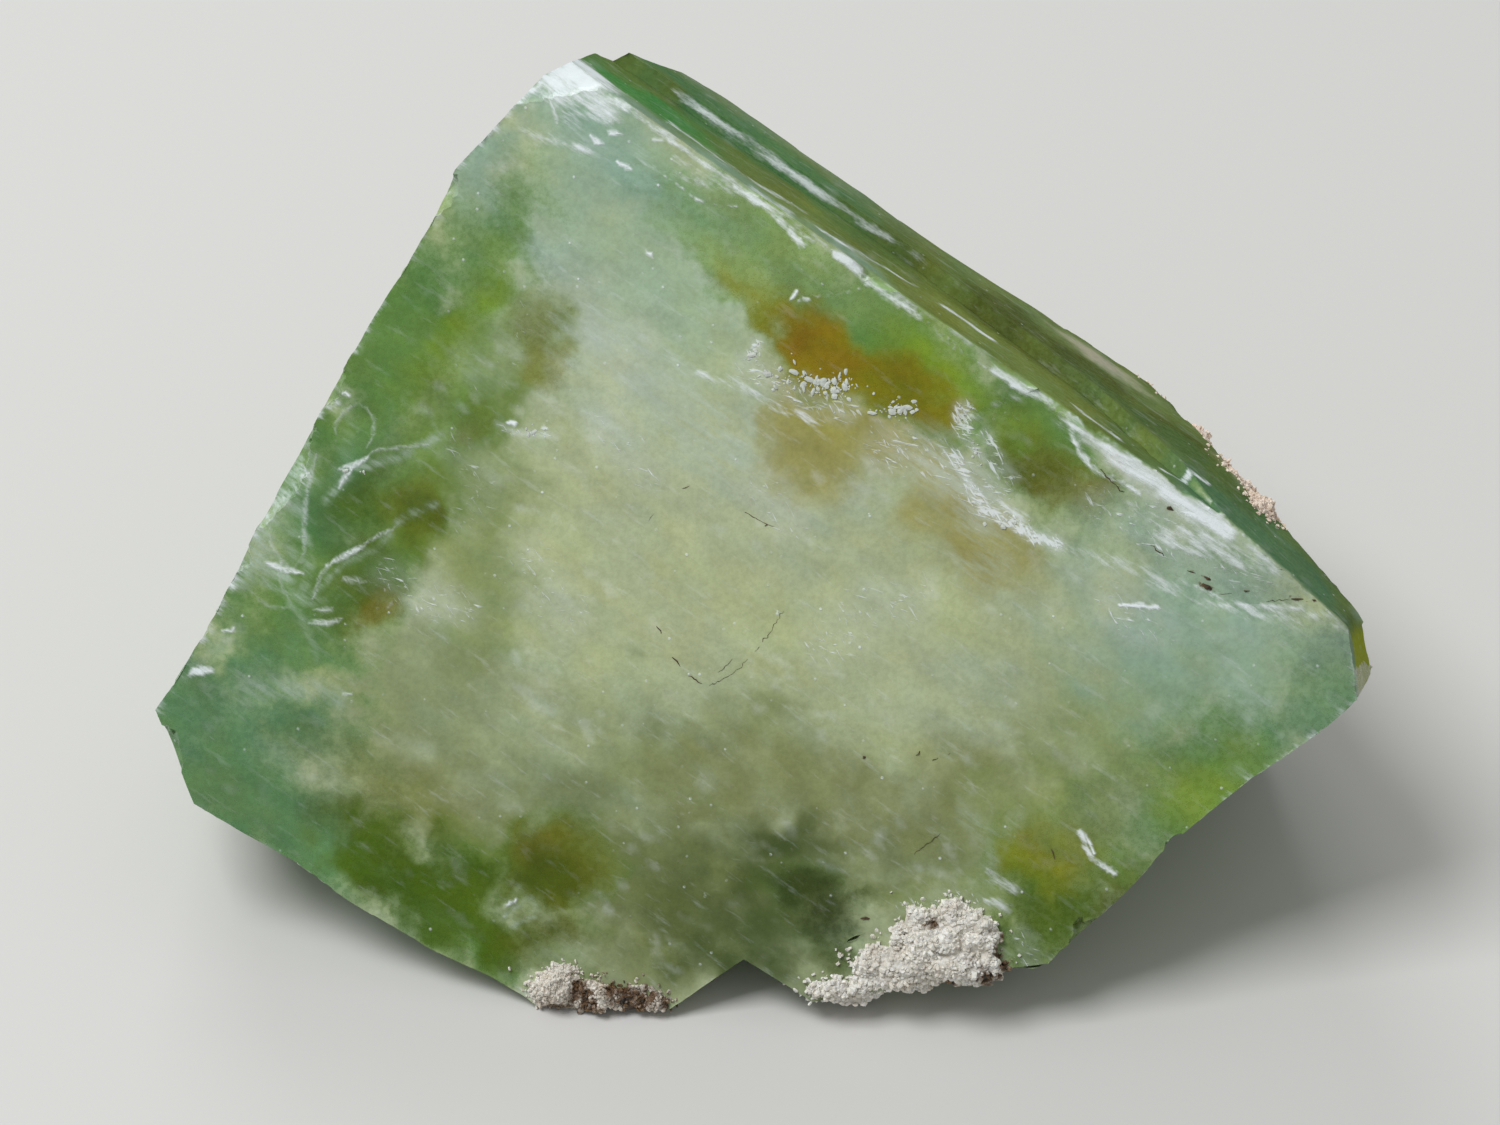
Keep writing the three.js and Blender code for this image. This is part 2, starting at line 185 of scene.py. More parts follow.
# The patches of colour in the front face, from the back to the front: centre and half
# sizes in mm on the face, how far each is turned in degrees, its colour, its strength,
# and how clear the crystal is there. Clear patches open the white cloud, others are in it.
PATCHES = [
    # The mist and milk patches high on the face are partly painted reflection.
    ((-5.0, 11.5), (8.5, 7.0), -20, MIST_AND_SHEEN, 0.95, 0.0),
    ((-7.0, 8.0), (4.5, 2.6), -25, MILK_AND_SHEEN, 0.8, 0.0),
    ((-1.5, 4.5), (7.0, 4.0), -15, MILK_AND_SHEEN, 0.5, 0.0),
    ((-3.5, -1.0), (9.0, 5.5), -15, CREAM, 0.9, 0.0),
    ((7.0, -3.0), (8.0, 4.0), -20, CREAM, 0.7, 0.0),
    # The shade, dusk, fawn and pine patches low on the face darken it towards the bottom: partly
    # the cloud's own tone, partly painted shade.
    ((-13.0, -6.5), (6.0, 3.6), 20, SHADE, 0.9, 0.0),
    ((-4.0, -10.5), (12.0, 5.0), 5, SHADE, 0.95, 0.0),
    ((-1.0, -12.5), (9.0, 3.0), 0, DUSK, 0.5, 0.0),
    ((-2.0, -14.0), (12.0, 3.6), 0, DUSK, 0.9, 0.0),
    ((10.0, -10.0), (5.0, 3.0), 20, SHADE, 0.7, 0.0),
    ((6.6, -11.2), (4.4, 2.4), 10, DUSK, 0.6, 0.0),
    ((12.6, -4.6), (4.4, 3.0), 0, SHADE, 0.5, 0.0),
    ((2.4, -9.0), (5.4, 2.4), -6, FAWN, 0.8, 0.0),
    ((8.4, -8.6), (5.0, 2.6), 8, FAWN, 0.55, 0.0),
    ((15.6, -5.6), (4.0, 2.0), 20, HAY, 0.7, 0.0),
    ((2.0, -10.9), (3.2, 1.6), -14, DUSK, 0.9, 0.0),
    ((2.2, -11.2), (1.9, 1.3), 0, PINE, 0.8, 0.0),
    ((-10.6, -12.1), (1.7, 1.2), 0, THYME, 0.75, 0.0),
    ((-1.2, -16.6), (2.8, 1.3), 0, PINE, 0.75, 0.2),
    ((9.8, -12.8), (2.6, 1.2), 12, HAY, 0.85, 0.0),
    ((14.4, -8.2), (4.0, 1.8), 20, HAY, 0.7, 0.0),
    ((-1.6, -9.8), (4.0, 1.5), 0, FAWN, 0.5, 0.0),
    ((1.4, -15.2), (5.2, 3.0), 0, PINE, 0.62, 0.0),
    ((-13.4, -11.0), (6.0, 2.2), -8, FAWN, 0.85, 0.0),
    ((-10.6, -0.4), (2.4, 4.6), 6, HAY, 0.75, 0.0),
    ((-11.0, 3.0), (1.7, 2.8), 0, HAY, 0.85, 0.0),
    ((-10.7, 7.6), (1.7, 2.4), 20, HAY, 0.85, 0.0),
    ((20.0, -2.6), (6.5, 3.6), -15, HAZE, 0.85, 0.0),
    ((18.2, 0.8), (6.0, 2.4), -16, HAZE, 0.75, 0.0),
    ((20.4, 0.9), (3.6, 0.8), -24, JADE, 0.7, 0.2),
    ((-15.2, 8.0), (8.6, 3.6), 62, LEAF, 1.0, 0.6),
    ((-12.0, 12.6), (4.0, 1.8), 60, LEAF, 0.75, 0.35),
    ((-12.0, 14.8), (3.0, 1.6), 60, HAZE, 0.8, 0.0),
    ((-6.6, 16.4), (5.4, 1.9), -30, HAZE, 0.95, 0.0),
    ((-13.0, 7.6), (4.4, 1.8), 60, MEADOW, 0.6, 0.5),
    ((-17.6, 1.6), (4.6, 3.4), 62, LEAF, 0.95, 0.62),
    ((-16.4, 1.6), (3.0, 2.0), 60, JADE, 0.7, 0.6),
    ((-12.4, 5.4), (3.6, 2.0), 60, CLOVER, 0.9, 0.0),
    ((-13.4, 2.4), (4.6, 2.0), 58, CLOVER, 0.8, 0.0),
    ((-11.4, 4.2), (3.6, 1.5), 62, THYME, 0.8, 0.0),
    ((-14.0, 0.4), (3.2, 1.5), 55, DRAB, 0.9, 0.0),
    ((-15.9, 1.2), (2.0, 1.5), 50, MOSS, 0.65, 0.5),
    ((-15.4, -1.6), (2.0, 1.6), 30, LEAF, 0.7, 0.5),
    ((-18.8, -3.6), (4.2, 3.4), 40, LEAF, 0.85, 0.5),
    ((-21.4, -8.8), (5.4, 5.4), 20, JADE, 1.0, 0.45),
    ((-20.6, -7.0), (2.4, 1.2), 30, HAZE, 0.3, 0.0),
    ((-18.4, -12.6), (7.0, 3.2), -28, FROND, 1.0, 0.5),
    ((-14.8, -11.4), (4.6, 2.0), -24, THYME, 0.8, 0.1),
    ((-11.4, -12.8), (3.8, 1.7), -25, DRAB, 0.75, 0.0),
    ((-19.4, -9.8), (2.6, 1.2), -30, HAZE, 0.4, 0.0),
    ((-12.0, -15.0), (5.0, 2.2), -28, MOSS, 1.0, 0.6),
    ((-11.4, -14.0), (3.4, 2.1), -10, MOSS, 0.95, 0.6),
    ((-7.8, -14.8), (2.0, 1.3), 0, FERN, 0.6, 0.4),
    ((-7.2, -16.2), (3.2, 1.2), -14, FERN, 0.85, 0.3),
    ((4.8, -14.0), (2.4, 1.9), 0, BOTTLE, 0.75, 0.2),
    ((-7.4, -13.4), (2.6, 2.3), 15, OLIVE, 0.85, 0.45),
    ((-7.6, -14.3), (1.7, 1.2), 10, FERN, 1.0, 0.6),
    ((-11.0, -17.0), (3.0, 1.4), -15, LEAF, 0.7, 0.45),
    ((-10.0, -16.6), (2.2, 1.2), -10, MOSS, 0.9, 0.5),
    ((-8.0, -16.7), (2.4, 1.1), -10, FERN, 0.75, 0.5),
    ((-3.5, -17.0), (4.0, 1.6), 0, DUSK, 0.7, 0.0),
    ((2.6, -12.8), (3.8, 2.6), -30, PINE, 0.6, 0.0),
    ((2.6, -12.7), (2.2, 1.6), -35, BOTTLE, 0.55, 0.3),
    ((1.0, -11.9), (1.4, 2.0), 20, PINE, 0.45, 0.0),
    ((4.0, -13.6), (2.4, 1.2), -20, BOTTLE, 0.6, 0.35),
    ((4.6, -15.0), (2.4, 1.1), 0, BOTTLE, 0.6, 0.3),
    ((1.2, -16.0), (2.0, 1.4), 0, PINE, 0.5, 0.0),
    ((13.2, -12.2), (3.8, 2.4), 40, MOSS, 0.85, 0.5),
    ((13.6, -10.2), (2.5, 1.6), 25, LEMON, 0.85, 0.42),
    ((17.2, -10.9), (3.4, 1.1), 42, OLIVE, 0.75, 0.42),
    ((16.0, -12.3), (1.7, 0.7), 42, BOTTLE, 0.5, 0.4),
    ((18.9, -7.1), (5.4, 2.5), 38, LEAF, 0.85, 0.42),
    ((15.6, -8.0), (3.4, 1.8), 30, SAGE, 0.6, 0.2),
    ((19.4, -6.9), (3.0, 1.3), 38, MEADOW, 0.5, 0.4),
    ((23.2, -3.6), (2.6, 2.6), 0, JADE, 0.55, 0.35),
    ((24.2, -0.6), (2.4, 1.8), 0, JADE, 0.8, 0.3),
    ((11.5, 5.7), (4.8, 2.5), -42, LEAF, 0.98, 0.6),
    ((10.4, 5.9), (2.0, 1.0), -42, MEADOW, 0.5, 0.5),
    ((10.8, 5.0), (1.8, 1.0), -40, OLIVE, 0.6, 0.4),
    ((12.5, 4.1), (2.1, 1.2), -24, OLIVE, 0.75, 0.36),
    ((13.0, 3.6), (1.2, 0.7), -20, GOLD, 0.6, 0.2),
    ((3.4, 6.8), (5.0, 2.6), -25, GOLD, 0.9, 0.0),
    ((8.8, 2.0), (2.8, 2.2), -30, OCHRE, 0.95, 0.0),
    ((11.0, 0.6), (2.4, 1.2), -25, OCHRE, 0.5, 0.0),
    ((3.2, 4.9), (3.2, 2.0), -10, OCHRE, 0.8, 0.0),
    ((4.6, 9.4), (6.6, 2.5), -30, LEAF, 0.95, 0.6),
    ((6.4, 8.3), (3.4, 2.0), -30, MEADOW, 0.7, 0.6),
    ((0.2, 12.8), (5.4, 2.1), -32, SPRING, 0.95, 0.4),
    ((-3.0, 14.4), (2.6, 1.4), -32, SPRING, 0.6, 0.2),
    ((1.7, 9.5), (2.5, 1.7), -30, RUST, 0.95, 0.5),
    ((1.9, 9.5), (1.5, 1.0), -30, AMBER, 0.95, 0.6),
    ((3.8, 8.2), (2.4, 1.4), -35, RUST, 0.9, 0.5),
    ((3.1, 8.6), (1.3, 0.7), -35, AMBER, 0.6, 0.5),
    ((5.9, 7.3), (2.3, 1.3), -20, RUST, 0.9, 0.45),
    ((0.2, 10.9), (1.5, 1.0), -50, LEMON, 0.55, 0.4),
    ((-1.2, 11.8), (1.0, 0.5), -50, LEMON, 0.5, 0.3),
    ((-9.3, 8.2), (1.5, 2.0), 10, HAY, 0.9, 0.0),
    ((-9.3, 8.6), (1.2, 1.5), 10, OLIVE, 0.7, 0.3),
    ((-8.6, 7.0), (1.2, 1.4), 20, GOLD, 0.85, 0.15),
    ((-11.8, 4.6), (1.6, 1.2), 40, OLIVE, 0.6, 0.35),
    ((-13.3, 1.4), (1.9, 1.3), 30, OLIVE, 0.65, 0.4),
    ((-12.6, 1.2), (1.0, 0.9), 20, FERN, 0.45, 0.5),
    ((-15.2, -2.6), (1.9, 1.2), 40, FERN, 0.65, 0.45),
    ((-15.0, -2.9), (1.4, 0.8), 35, AMBER, 0.28, 0.3),
    ((-19.7, -0.1), (2.8, 0.8), 60, LACE, 0.35, 0.0),
    ((-13.4, 5.6), (1.6, 1.9), 10, CLOVER, 0.55, 0.3),
    ((-14.3, 3.0), (1.5, 1.5), 0, CLOVER, 0.45, 0.4),
    ((-15.8, -0.8), (2.0, 1.3), 40, MOSS, 0.5, 0.5),
    ((-17.0, -1.5), (1.8, 1.3), 60, CLOVER, 0.5, 0.4),
    ((16.9, 4.2), (2.8, 1.2), -32, LACE, 0.8, 0.0),
    ((14.5, 5.4), (2.2, 0.9), -38, LACE, 0.85, 0.0),
    ((12.4, 3.8), (1.7, 0.8), -22, FERN, 0.5, 0.4),
    ((16.6, 1.4), (3.6, 1.7), -16, GLASS_MIST, 0.7, 0.1),
    ((22.2, 0.3), (3.0, 1.6), -26, GLASS_MIST, 0.8, 0.1),
    ((22.0, 1.5), (4.2, 1.1), -30, GLASS_MIST, 0.8, 0.1),
    ((-0.6, -16.9), (2.2, 1.1), 0, PINE, 0.7, 0.0),
    ((5.0, -16.0), (1.6, 1.0), 0, DRAB, 0.6, 0.2),
    ((-15.0, -15.0), (2.0, 1.1), -28, MOSS, 0.8, 0.6),
    ((-12.2, -16.6), (2.0, 0.9), -28, MOSS, 0.6, 0.5),
    ((-7.0, -17.2), (2.2, 0.9), -12, THYME, 0.6, 0.0),
    ((-6.2, -15.9), (1.4, 0.9), 0, FERN, 0.35, 0.4),
    ((5.2, -14.2), (1.9, 1.5), 10, BOTTLE, 0.45, 0.3),
    ((2.3, -15.6), (1.8, 1.4), 0, PINE, 0.6, 0.0),
    ((2.0, -10.9), (1.9, 1.0), 0, PINE, 0.5, 0.0),
    ((10.0, -12.9), (2.4, 1.0), 12, HAY, 0.6, 0.0),
]

RIGHT_TIP = (25.0, -2.0, -1.0)  # the yellower tip of the crystal, on the face
TIP_FACET = 35.2  # where the small facet at that tip begins, along the upper right wall
APEX = (-8.5, 20.0, -0.8)  # the crystal's bruised top, on the face; its white is partly bruising, partly painted highlight

# The same for the upper right wall, by distance along its front edge and depth behind it.
WALL_PATCHES = [
    ((18.0, 3.0), (8.0, 5.0), 0, GLASS_MOSS, 0.95, 0.2),
    ((0.0, 3.6), (4.0, 3.6), 0, GLASS, 0.8, 0.3),
    ((4.0, 0.4), (9.0, 2.2), 2, GLASS_MIST, 0.95, 0.0),
    ((18.0, 12.6), (10.0, 3.6), 0, GLASS_PALE, 0.9, 0.2),
    ((3.0, 14.0), (9.0, 3.6), 0, GLASS_GREY, 0.9, 0.2),
    ((3.0, 9.6), (8.0, 2.4), 0, GLASS_JADE, 0.95, 0.3),
    ((20.0, 9.0), (8.0, 3.0), -4, GLASS_DARK, 1.0, 0.3),
    ((31.0, 1.5), (6.4, 4.6), 0, GLASS_DULL, 0.95, 0.3),
    ((26.4, 5.6), (5.0, 2.2), -14, GLASS_DEEP, 0.9, 0.3),
    ((21.5, 13.0), (2.6, 1.6), 0, CHALK, 0.9, 0.0),
    ((30.0, 8.8), (2.0, 2.2), 0, PEACH, 0.9, 0.0),
]

# The white cloud inside the crystal, as seen through its broken sides: its centre and half
# sizes in mm, to the right of, above and out of the face's origin.
CLOUD_CENTRE = np.array([1.0, -2.0, -9.0])
CLOUD_HALF = np.array([15.0, 12.0, 9.0])

# White bruises on the front face, and the painted sheen on its top: points in mm on the face, half
# width, strength.
BRUISES_AND_SHEEN = [
    ([(-12.3, 16.4), (-11.5, 17.6), (-10.7, 18.4), (-9.8, 19.1), (-8.7, 20.1)], 0.32, 0.75),
    # These three paint the sheen on the top: partly white bruising, partly painted highlight.
    ([(-9.2, 19.5), (-8.1, 19.0), (-7.0, 18.2)], 0.85, 0.72),
    ([(-8.5, 20.0), (-7.5, 19.2), (-6.3, 18.3)], 0.35, 0.95),
    ([(-6.3, 18.3), (-4.4, 17.0), (-3.2, 16.3), (-2.1, 15.7)], 0.16, 0.55),
    ([(-8.8, 17.5), (-7.8, 17.6), (-6.6, 18.0)], 0.4, 0.45),
    ([(-2.1, 15.7), (0.0, 14.4), (1.1, 13.7), (2.6, 13.0)], 0.12, 0.6),
    ([(-4.2, 16.4), (-2.8, 15.7), (-0.7, 14.6)], 0.2, 0.5),
    ([(-1.6, 15.2), (-0.4, 14.6), (0.4, 14.0)], 0.2, 0.8),
    ([(0.6, 13.8), (1.1, 13.2)], 0.16, 0.8),
    ([(2.6, 12.9), (3.6, 12.4)], 0.22, 1.0),
    ([(3.8, 12.2), (4.5, 11.6), (6.2, 10.5)], 0.14, 0.75),
    ([(6.0, 10.6), (7.6, 9.7), (9.2, 8.8)], 0.07, 0.55),
    ([(9.5, 8.8), (10.5, 8.1), (11.9, 7.5)], 0.26, 0.68),
    ([(10.1, 8.1), (11.9, 7.5)], 0.1, 0.75),
    ([(11.6, 7.4), (12.8, 6.8)], 0.08, 0.7),
    ([(12.9, 6.9), (14.0, 6.1), (15.3, 5.3), (16.8, 4.5)], 0.8, 0.72),
    ([(12.4, 7.0), (12.7, 6.1), (13.4, 5.1), (14.5, 4.4), (15.7, 4.0)], 0.14, 0.8),
    ([(12.6, 7.4), (15.2, 5.8), (16.6, 5.0), (18.3, 4.0), (20.2, 2.9), (22.2, 1.8)], 0.24, 0.8),
    ([(16.7, 4.2), (18.0, 3.4), (19.3, 2.8)], 0.5, 0.9),
    ([(18.3, 2.4), (19.7, 2.0), (21.4, 1.5)], 0.45, 0.55),
    ([(17.4, 2.8), (18.3, 2.0), (20.0, 1.5)], 0.3, 0.5),
    ([(15.3, 3.6), (16.2, 3.1), (17.1, 2.3)], 0.25, 0.45),
    ([(18.2, 0.5), (19.5, 0.0), (21.0, -0.1), (22.6, 0.0)], 0.12, 0.6),
    ([(20.5, -0.4), (21.8, -0.2), (22.6, -0.4)], 0.24, 0.4),
    ([(16.4, 2.4), (18.4, 1.7), (20.6, 1.3)], 0.16, 0.5),
    ([(12.6, 1.6), (15.0, 1.1), (17.5, 0.4)], 0.3, 0.3),
    ([(-23.0, -6.6), (-22.1, -6.4)], 0.2, 0.95),
    ([(10.7, -12.0), (11.1, -12.3), (11.7, -12.7)], 0.28, 0.52),
    ([(10.7, -13.1), (11.2, -13.2), (11.6, -13.5)], 0.22, 0.5),
    ([(14.4, -9.9), (14.9, -11.0), (15.9, -11.5)], 0.14, 0.8),
    ([(15.2, -0.5), (16.7, -0.5)], 0.05, 1.0),
    ([(1.3, 10.9), (2.7, 11.3), (4.1, 11.8), (4.6, 12.0)], 0.06, 0.7),
    ([(-5.0, 15.7), (-3.1, 14.7), (-1.4, 14.5)], 0.05, 0.6),
    ([(-2.6, 7.5), (-1.0, 7.1), (0.2, 6.6), (2.5, 6.1)], 0.22, 0.5),
    ([(-9.5, -19.2), (-7.0, -18.3)], 0.5, 0.2),
]

# Sugary bruises, as above: crushed to bright grains.
SUGARED = [
    ([(8.2, 7.0), (8.3, 6.0)], 0.42, 0.95),
    ([(8.3, 5.8), (8.9, 5.3), (10.2, 4.4)], 0.2, 0.7),
    ([(8.1, 4.9), (8.9, 3.7), (9.6, 2.8), (10.9, 2.2), (12.7, 1.6)], 0.3, 0.95),
    ([(9.2, 5.9), (10.0, 5.0), (10.7, 4.2)], 0.28, 0.6),
    ([(5.4, 5.2), (7.2, 4.8), (8.6, 4.0), (9.8, 3.2)], 1.1, 0.42),
    ([(-0.8, 8.0), (1.4, 7.1), (3.6, 6.6)], 0.6, 0.5),
    ([(-0.4, 9.0), (-0.6, 8.4)], 0.26, 0.7),
    ([(-10.8, 4.9), (-9.9, 4.6), (-8.6, 4.6)], 0.14, 0.8),
    ([(-12.4, 4.0), (-11.0, 2.4), (-11.4, 0.6)], 0.8, 0.2),
    ([(-15.0, -1.6), (-13.6, -2.4), (-11.6, -2.8)], 0.8, 0.36),
    ([(-10.0, 9.6), (-10.0, 7.8), (-11.6, 6.4)], 0.6, 0.18),
    ([(7.6, -13.7), (9.2, -13.0), (10.2, -13.2)], 0.5, 0.3),
    ([(12.2, -14.4), (12.6, -15.8)], 0.5, 0.4),
    ([(-8.4, -17.8), (-6.6, -17.2)], 0.8, 0.14),
    ([(-6.0, 5.0), (-4.6, 3.4)], 1.0, 0.26),
    ([(0.4, 3.2), (1.6, 1.8)], 1.0, 0.28),
    ([(3.4, -3.0), (5.0, -1.2), (6.8, -1.0)], 1.1, 0.28),
    ([(-9.0, -0.6), (-7.4, -2.8)], 1.2, 0.24),
    ([(15.0, -0.6), (16.6, -1.4)], 0.8, 0.3),
    ([(14.4, 3.4), (17.0, 2.4), (20.5, 1.2)], 1.2, 0.3),
]

# Faint white veils just under the front face, as above.
VEILS = [
    ([(-17.2, 2.4), (-16.8, 4.6)], 0.4, 0.2),
    ([(-18.6, 4.6), (-18.9, 2.4), (-18.3, -1.4), (-18.5, -2.9)], 0.24, 0.51),
    ([(-17.6, 1.2), (-16.6, 2.6), (-14.7, 3.2), (-13.1, 4.3)], 0.19, 0.55),
    ([(-18.0, -2.6), (-16.8, -1.2), (-15.5, -0.6), (-14.6, 0.5), (-13.0, 1.5)], 0.14, 0.51),
    ([(-20.9, -0.9), (-19.9, -2.2), (-18.5, -2.8), (-17.6, -2.9)], 0.22, 0.64),
    ([(-18.8, 2.3), (-19.8, 1.2), (-20.4, 0.0), (-20.7, -1.4)], 0.75, 0.85),
    ([(-18.6, 2.0), (-18.9, 0.2), (-19.0, -1.1)], 0.4, 0.36),
    ([(-19.8, -6.9), (-19.0, -6.8), (-18.3, -6.9)], 0.35, 0.5),
    ([(-21.0, -2.2), (-20.2, -1.4), (-19.2, -1.8)], 0.5, 0.7),
    ([(-19.9, 1.2), (-19.0, -0.6), (-19.6, -2.0)], 0.5, 0.3),
    ([(-18.9, -3.0), (-18.2, -4.2), (-17.6, -5.4)], 0.17, 0.42),
    ([(-23.4, -6.9), (-21.9, -5.4), (-20.9, -4.4)], 0.22, 0.25),
    ([(-20.8, -7.2), (-18.6, -6.4), (-16.6, -7.0)], 0.5, 0.4),
    ([(-13.6, 8.0), (-12.2, 7.0), (-10.6, 8.4)], 0.6, 0.14),
    ([(-9.2, 17.0), (-7.4, 16.4), (-5.4, 16.6)], 0.6, 0.24),
    ([(-9.0, 19.0), (-9.2, 17.6), (-8.8, 16.6)], 0.22, 0.42),
    ([(-7.5, 9.0), (-4.0, 7.2), (-1.5, 4.6)], 1.5, 0.34),
    ([(7.0, 5.0), (9.0, 3.2), (9.6, 0.8)], 1.2, 0.34),
    ([(14.4, 0.4), (17.4, -0.6), (22.4, -1.0)], 0.8, 0.16),
    ([(15.4, 5.4), (19.0, 3.0), (23.0, 0.4)], 0.6, 0.4),
    ([(19.6, -2.6), (20.8, -4.4), (20.6, -6.8)], 0.5, 0.3),
    ([(9.6, -9.6), (11.2, -10.6), (10.6, -12.4)], 0.4, 0.35),
    ([(22.6, -9.0), (20.6, -7.9), (18.8, -9.7), (17.2, -11.2)], 0.22, 0.38),
    ([(-9.2, -15.6), (-8.2, -14.8), (-7.8, -15.5), (-8.8, -16.0)], 0.1, 0.51),
]

# Painted glints, and thin bright rims of inner cracks: points, half width, strength.
GLINTS_AND_CRACK_RIMS = [
    ([(-17.5, -1.5), (-16.7, -1.0), (-15.9, -0.5)], 0.17, 0.72),
    ([(-16.1, -0.6), (-15.4, -0.1), (-14.6, 0.3)], 0.13, 0.55),
    ([(-17.2, -1.4), (-17.7, -1.8), (-18.0, -2.9)], 0.14, 0.5),
    ([(-20.1, -1.6), (-19.2, -1.8), (-18.4, -1.9)], 0.17, 0.78),
    ([(-18.2, -3.9), (-17.4, -3.9), (-16.7, -3.7)], 0.2, 0.62),
    ([(-17.9, -3.4), (-17.0, -3.3)], 0.18, 0.55),
    ([(-16.9, -2.0), (-15.8, -2.1)], 0.24, 0.5),
    ([(-17.2, 2.5), (-16.6, 2.7), (-16.0, 3.1)], 0.17, 0.72),
    ([(-16.2, 3.0), (-15.8, 3.4), (-15.1, 3.5), (-13.5, 3.8)], 0.12, 0.5),
    ([(-17.2, 1.7), (-16.9, 2.2), (-16.7, 2.5)], 0.17, 0.7),
    ([(-18.8, 2.3), (-18.4, 2.2)], 0.15, 0.7),
    ([(-17.3, 5.6), (-16.9, 5.5)], 0.15, 0.8),
    ([(-14.9, -3.1), (-14.6, -2.8)], 0.16, 0.5),
    ([(-17.4, 3.6), (-17.5, 4.2), (-17.2, 4.8), (-16.7, 5.2), (-16.3, 5.1)], 0.14, 0.46),
    ([(-16.3, 5.1), (-15.9, 4.6), (-15.9, 3.9), (-16.1, 3.4)], 0.14, 0.46),
    ([(-18.2, 3.1), (-18.4, 2.0), (-18.5, 0.8), (-18.5, -1.3), (-18.9, -1.8)], 0.17, 0.5),
    ([(-20.0, -0.2), (-19.9, -0.8), (-19.5, -1.3), (-19.0, -1.7)], 0.14, 0.44),
    ([(-19.5, -1.9), (-19.3, -2.5), (-18.9, -3.2)], 0.14, 0.44),
    ([(-20.5, -2.9), (-20.1, -3.2), (-19.7, -3.4), (-18.7, -3.4)], 0.14, 0.42),
    ([(-9.7, 18.9), (-9.4, 18.1), (-9.1, 17.3)], 0.13, 0.6),
    ([(-7.0, 17.2), (-6.9, 17.1), (-6.5, 17.1)], 0.15, 0.8),
    ([(-7.7, 16.9), (-7.5, 16.7), (-7.2, 16.6)], 0.16, 0.8),
    ([(-5.3, 17.0), (-4.6, 17.0)], 0.12, 0.6),
    ([(-16.6, -6.9), (-16.1, -6.8)], 0.11, 0.6),
    ([(-22.9, -6.5), (-22.2, -6.4)], 0.11, 1.0),
    ([(-21.7, -4.7), (-21.0, -4.5)], 0.11, 0.9),
    ([(-10.4, 5.0), (-9.9, 4.9)], 0.13, 1.0),
    ([(-9.0, 4.9), (-8.6, 4.8)], 0.11, 0.8),
    ([(14.6, -10.1), (15.0, -10.8)], 0.11, 0.9),
    ([(15.2, -11.2), (15.9, -11.6)], 0.11, 0.8),
    ([(-9.2, -15.2), (-8.6, -14.8)], 0.11, 0.8),
    ([(15.2, -0.45), (16.7, -0.45)], 0.11, 1.0),
    ([(-6.6, 16.0), (-6.0, 15.7)], 0.11, 0.9),
    ([(-5.1, 12.4), (-4.8, 12.2)], 0.11, 0.9),
    ([(0.9, 10.9), (1.2, 11.3)], 0.11, 0.9),
    ([(17.4, 3.5), (18.6, 3.1)], 0.18, 0.9),
    ([(10.6, 2.8), (11.6, 2.0)], 0.11, 0.9),
    ([(-8.3, 19.2), (-7.6, 18.8)], 0.18, 0.5),
]

# Brown stains in the cracks of the front face, as above.
STAINS = [
    ([(15.3, 3.3), (16.3, 2.0), (17.6, 1.2)], 0.08, 0.7),
    ([(17.6, 1.2), (18.2, 1.0), (18.8, 0.8)], 0.12, 0.95),
    ([(18.3, 0.6), (19.0, 0.4)], 0.16, 1.1),
    ([(19.1, 0.3), (20.3, 0.4), (21.1, 0.2), (22.3, 0.3), (23.3, 0.3)], 0.09, 0.85),
    ([(22.1, 0.4), (22.6, 0.3)], 0.12, 1.0),
    ([(17.8, 3.4), (18.6, 3.0)], 0.3, 0.5),
    ([(13.4, 6.2), (14.4, 5.0)], 0.2, 0.4),
    ([(1.2, 10.9), (2.9, 11.3), (4.2, 11.7)], 0.12, 0.5),
]

# White streaks on the upper right wall, partly wear and partly painted reflection: points as
# distance along the edge and a third of the depth behind the front face, half width, strength.
DEPTH_SHARE = 0.333
STREAKS = [
    ([(24.4, 0.0), (26.4, 0.05), (28.2, 0.0)], 0.14, 0.6),
    ([(5.6, 0.1), (7.6, 0.2)], 0.2, 0.5),
    ([(1.5, 0.8), (4.5, 0.7), (8.0, 0.9)], 0.14, 0.5),
    ([(9.0, 0.5), (11.6, 0.9), (13.6, 1.3)], 0.12, 0.6),
    ([(14.9, 1.2), (17.2, 1.4)], 0.14, 0.7),
    ([(21.6, 0.6), (24.0, 0.5)], 0.1, 0.7),
    ([(26.0, 0.4), (28.0, 0.9)], 0.09, 0.8),
]

# Patches of white crumbs on the front face: centre, half sizes, number.
CRUMB_BEDS = [
    ((2.6, 7.5), (1.2, 0.5), 110),
    ((0.8, 7.7), (1.3, 0.8), 26),
    ((5.6, 6.7), (0.8, 0.35), 44),
    ((-0.5, 8.6), (0.35, 0.4), 16),
    ((8.3, 6.6), (0.3, 0.7), 12),
    ((8.9, 5.2), (0.5, 0.4), 8),
    ((10.6, 2.5), (1.2, 0.3), 12),
    ((-16.4, 2.4), (0.6, 0.3), 4),
    ((-9.6, 4.7), (0.8, 0.3), 5),
]

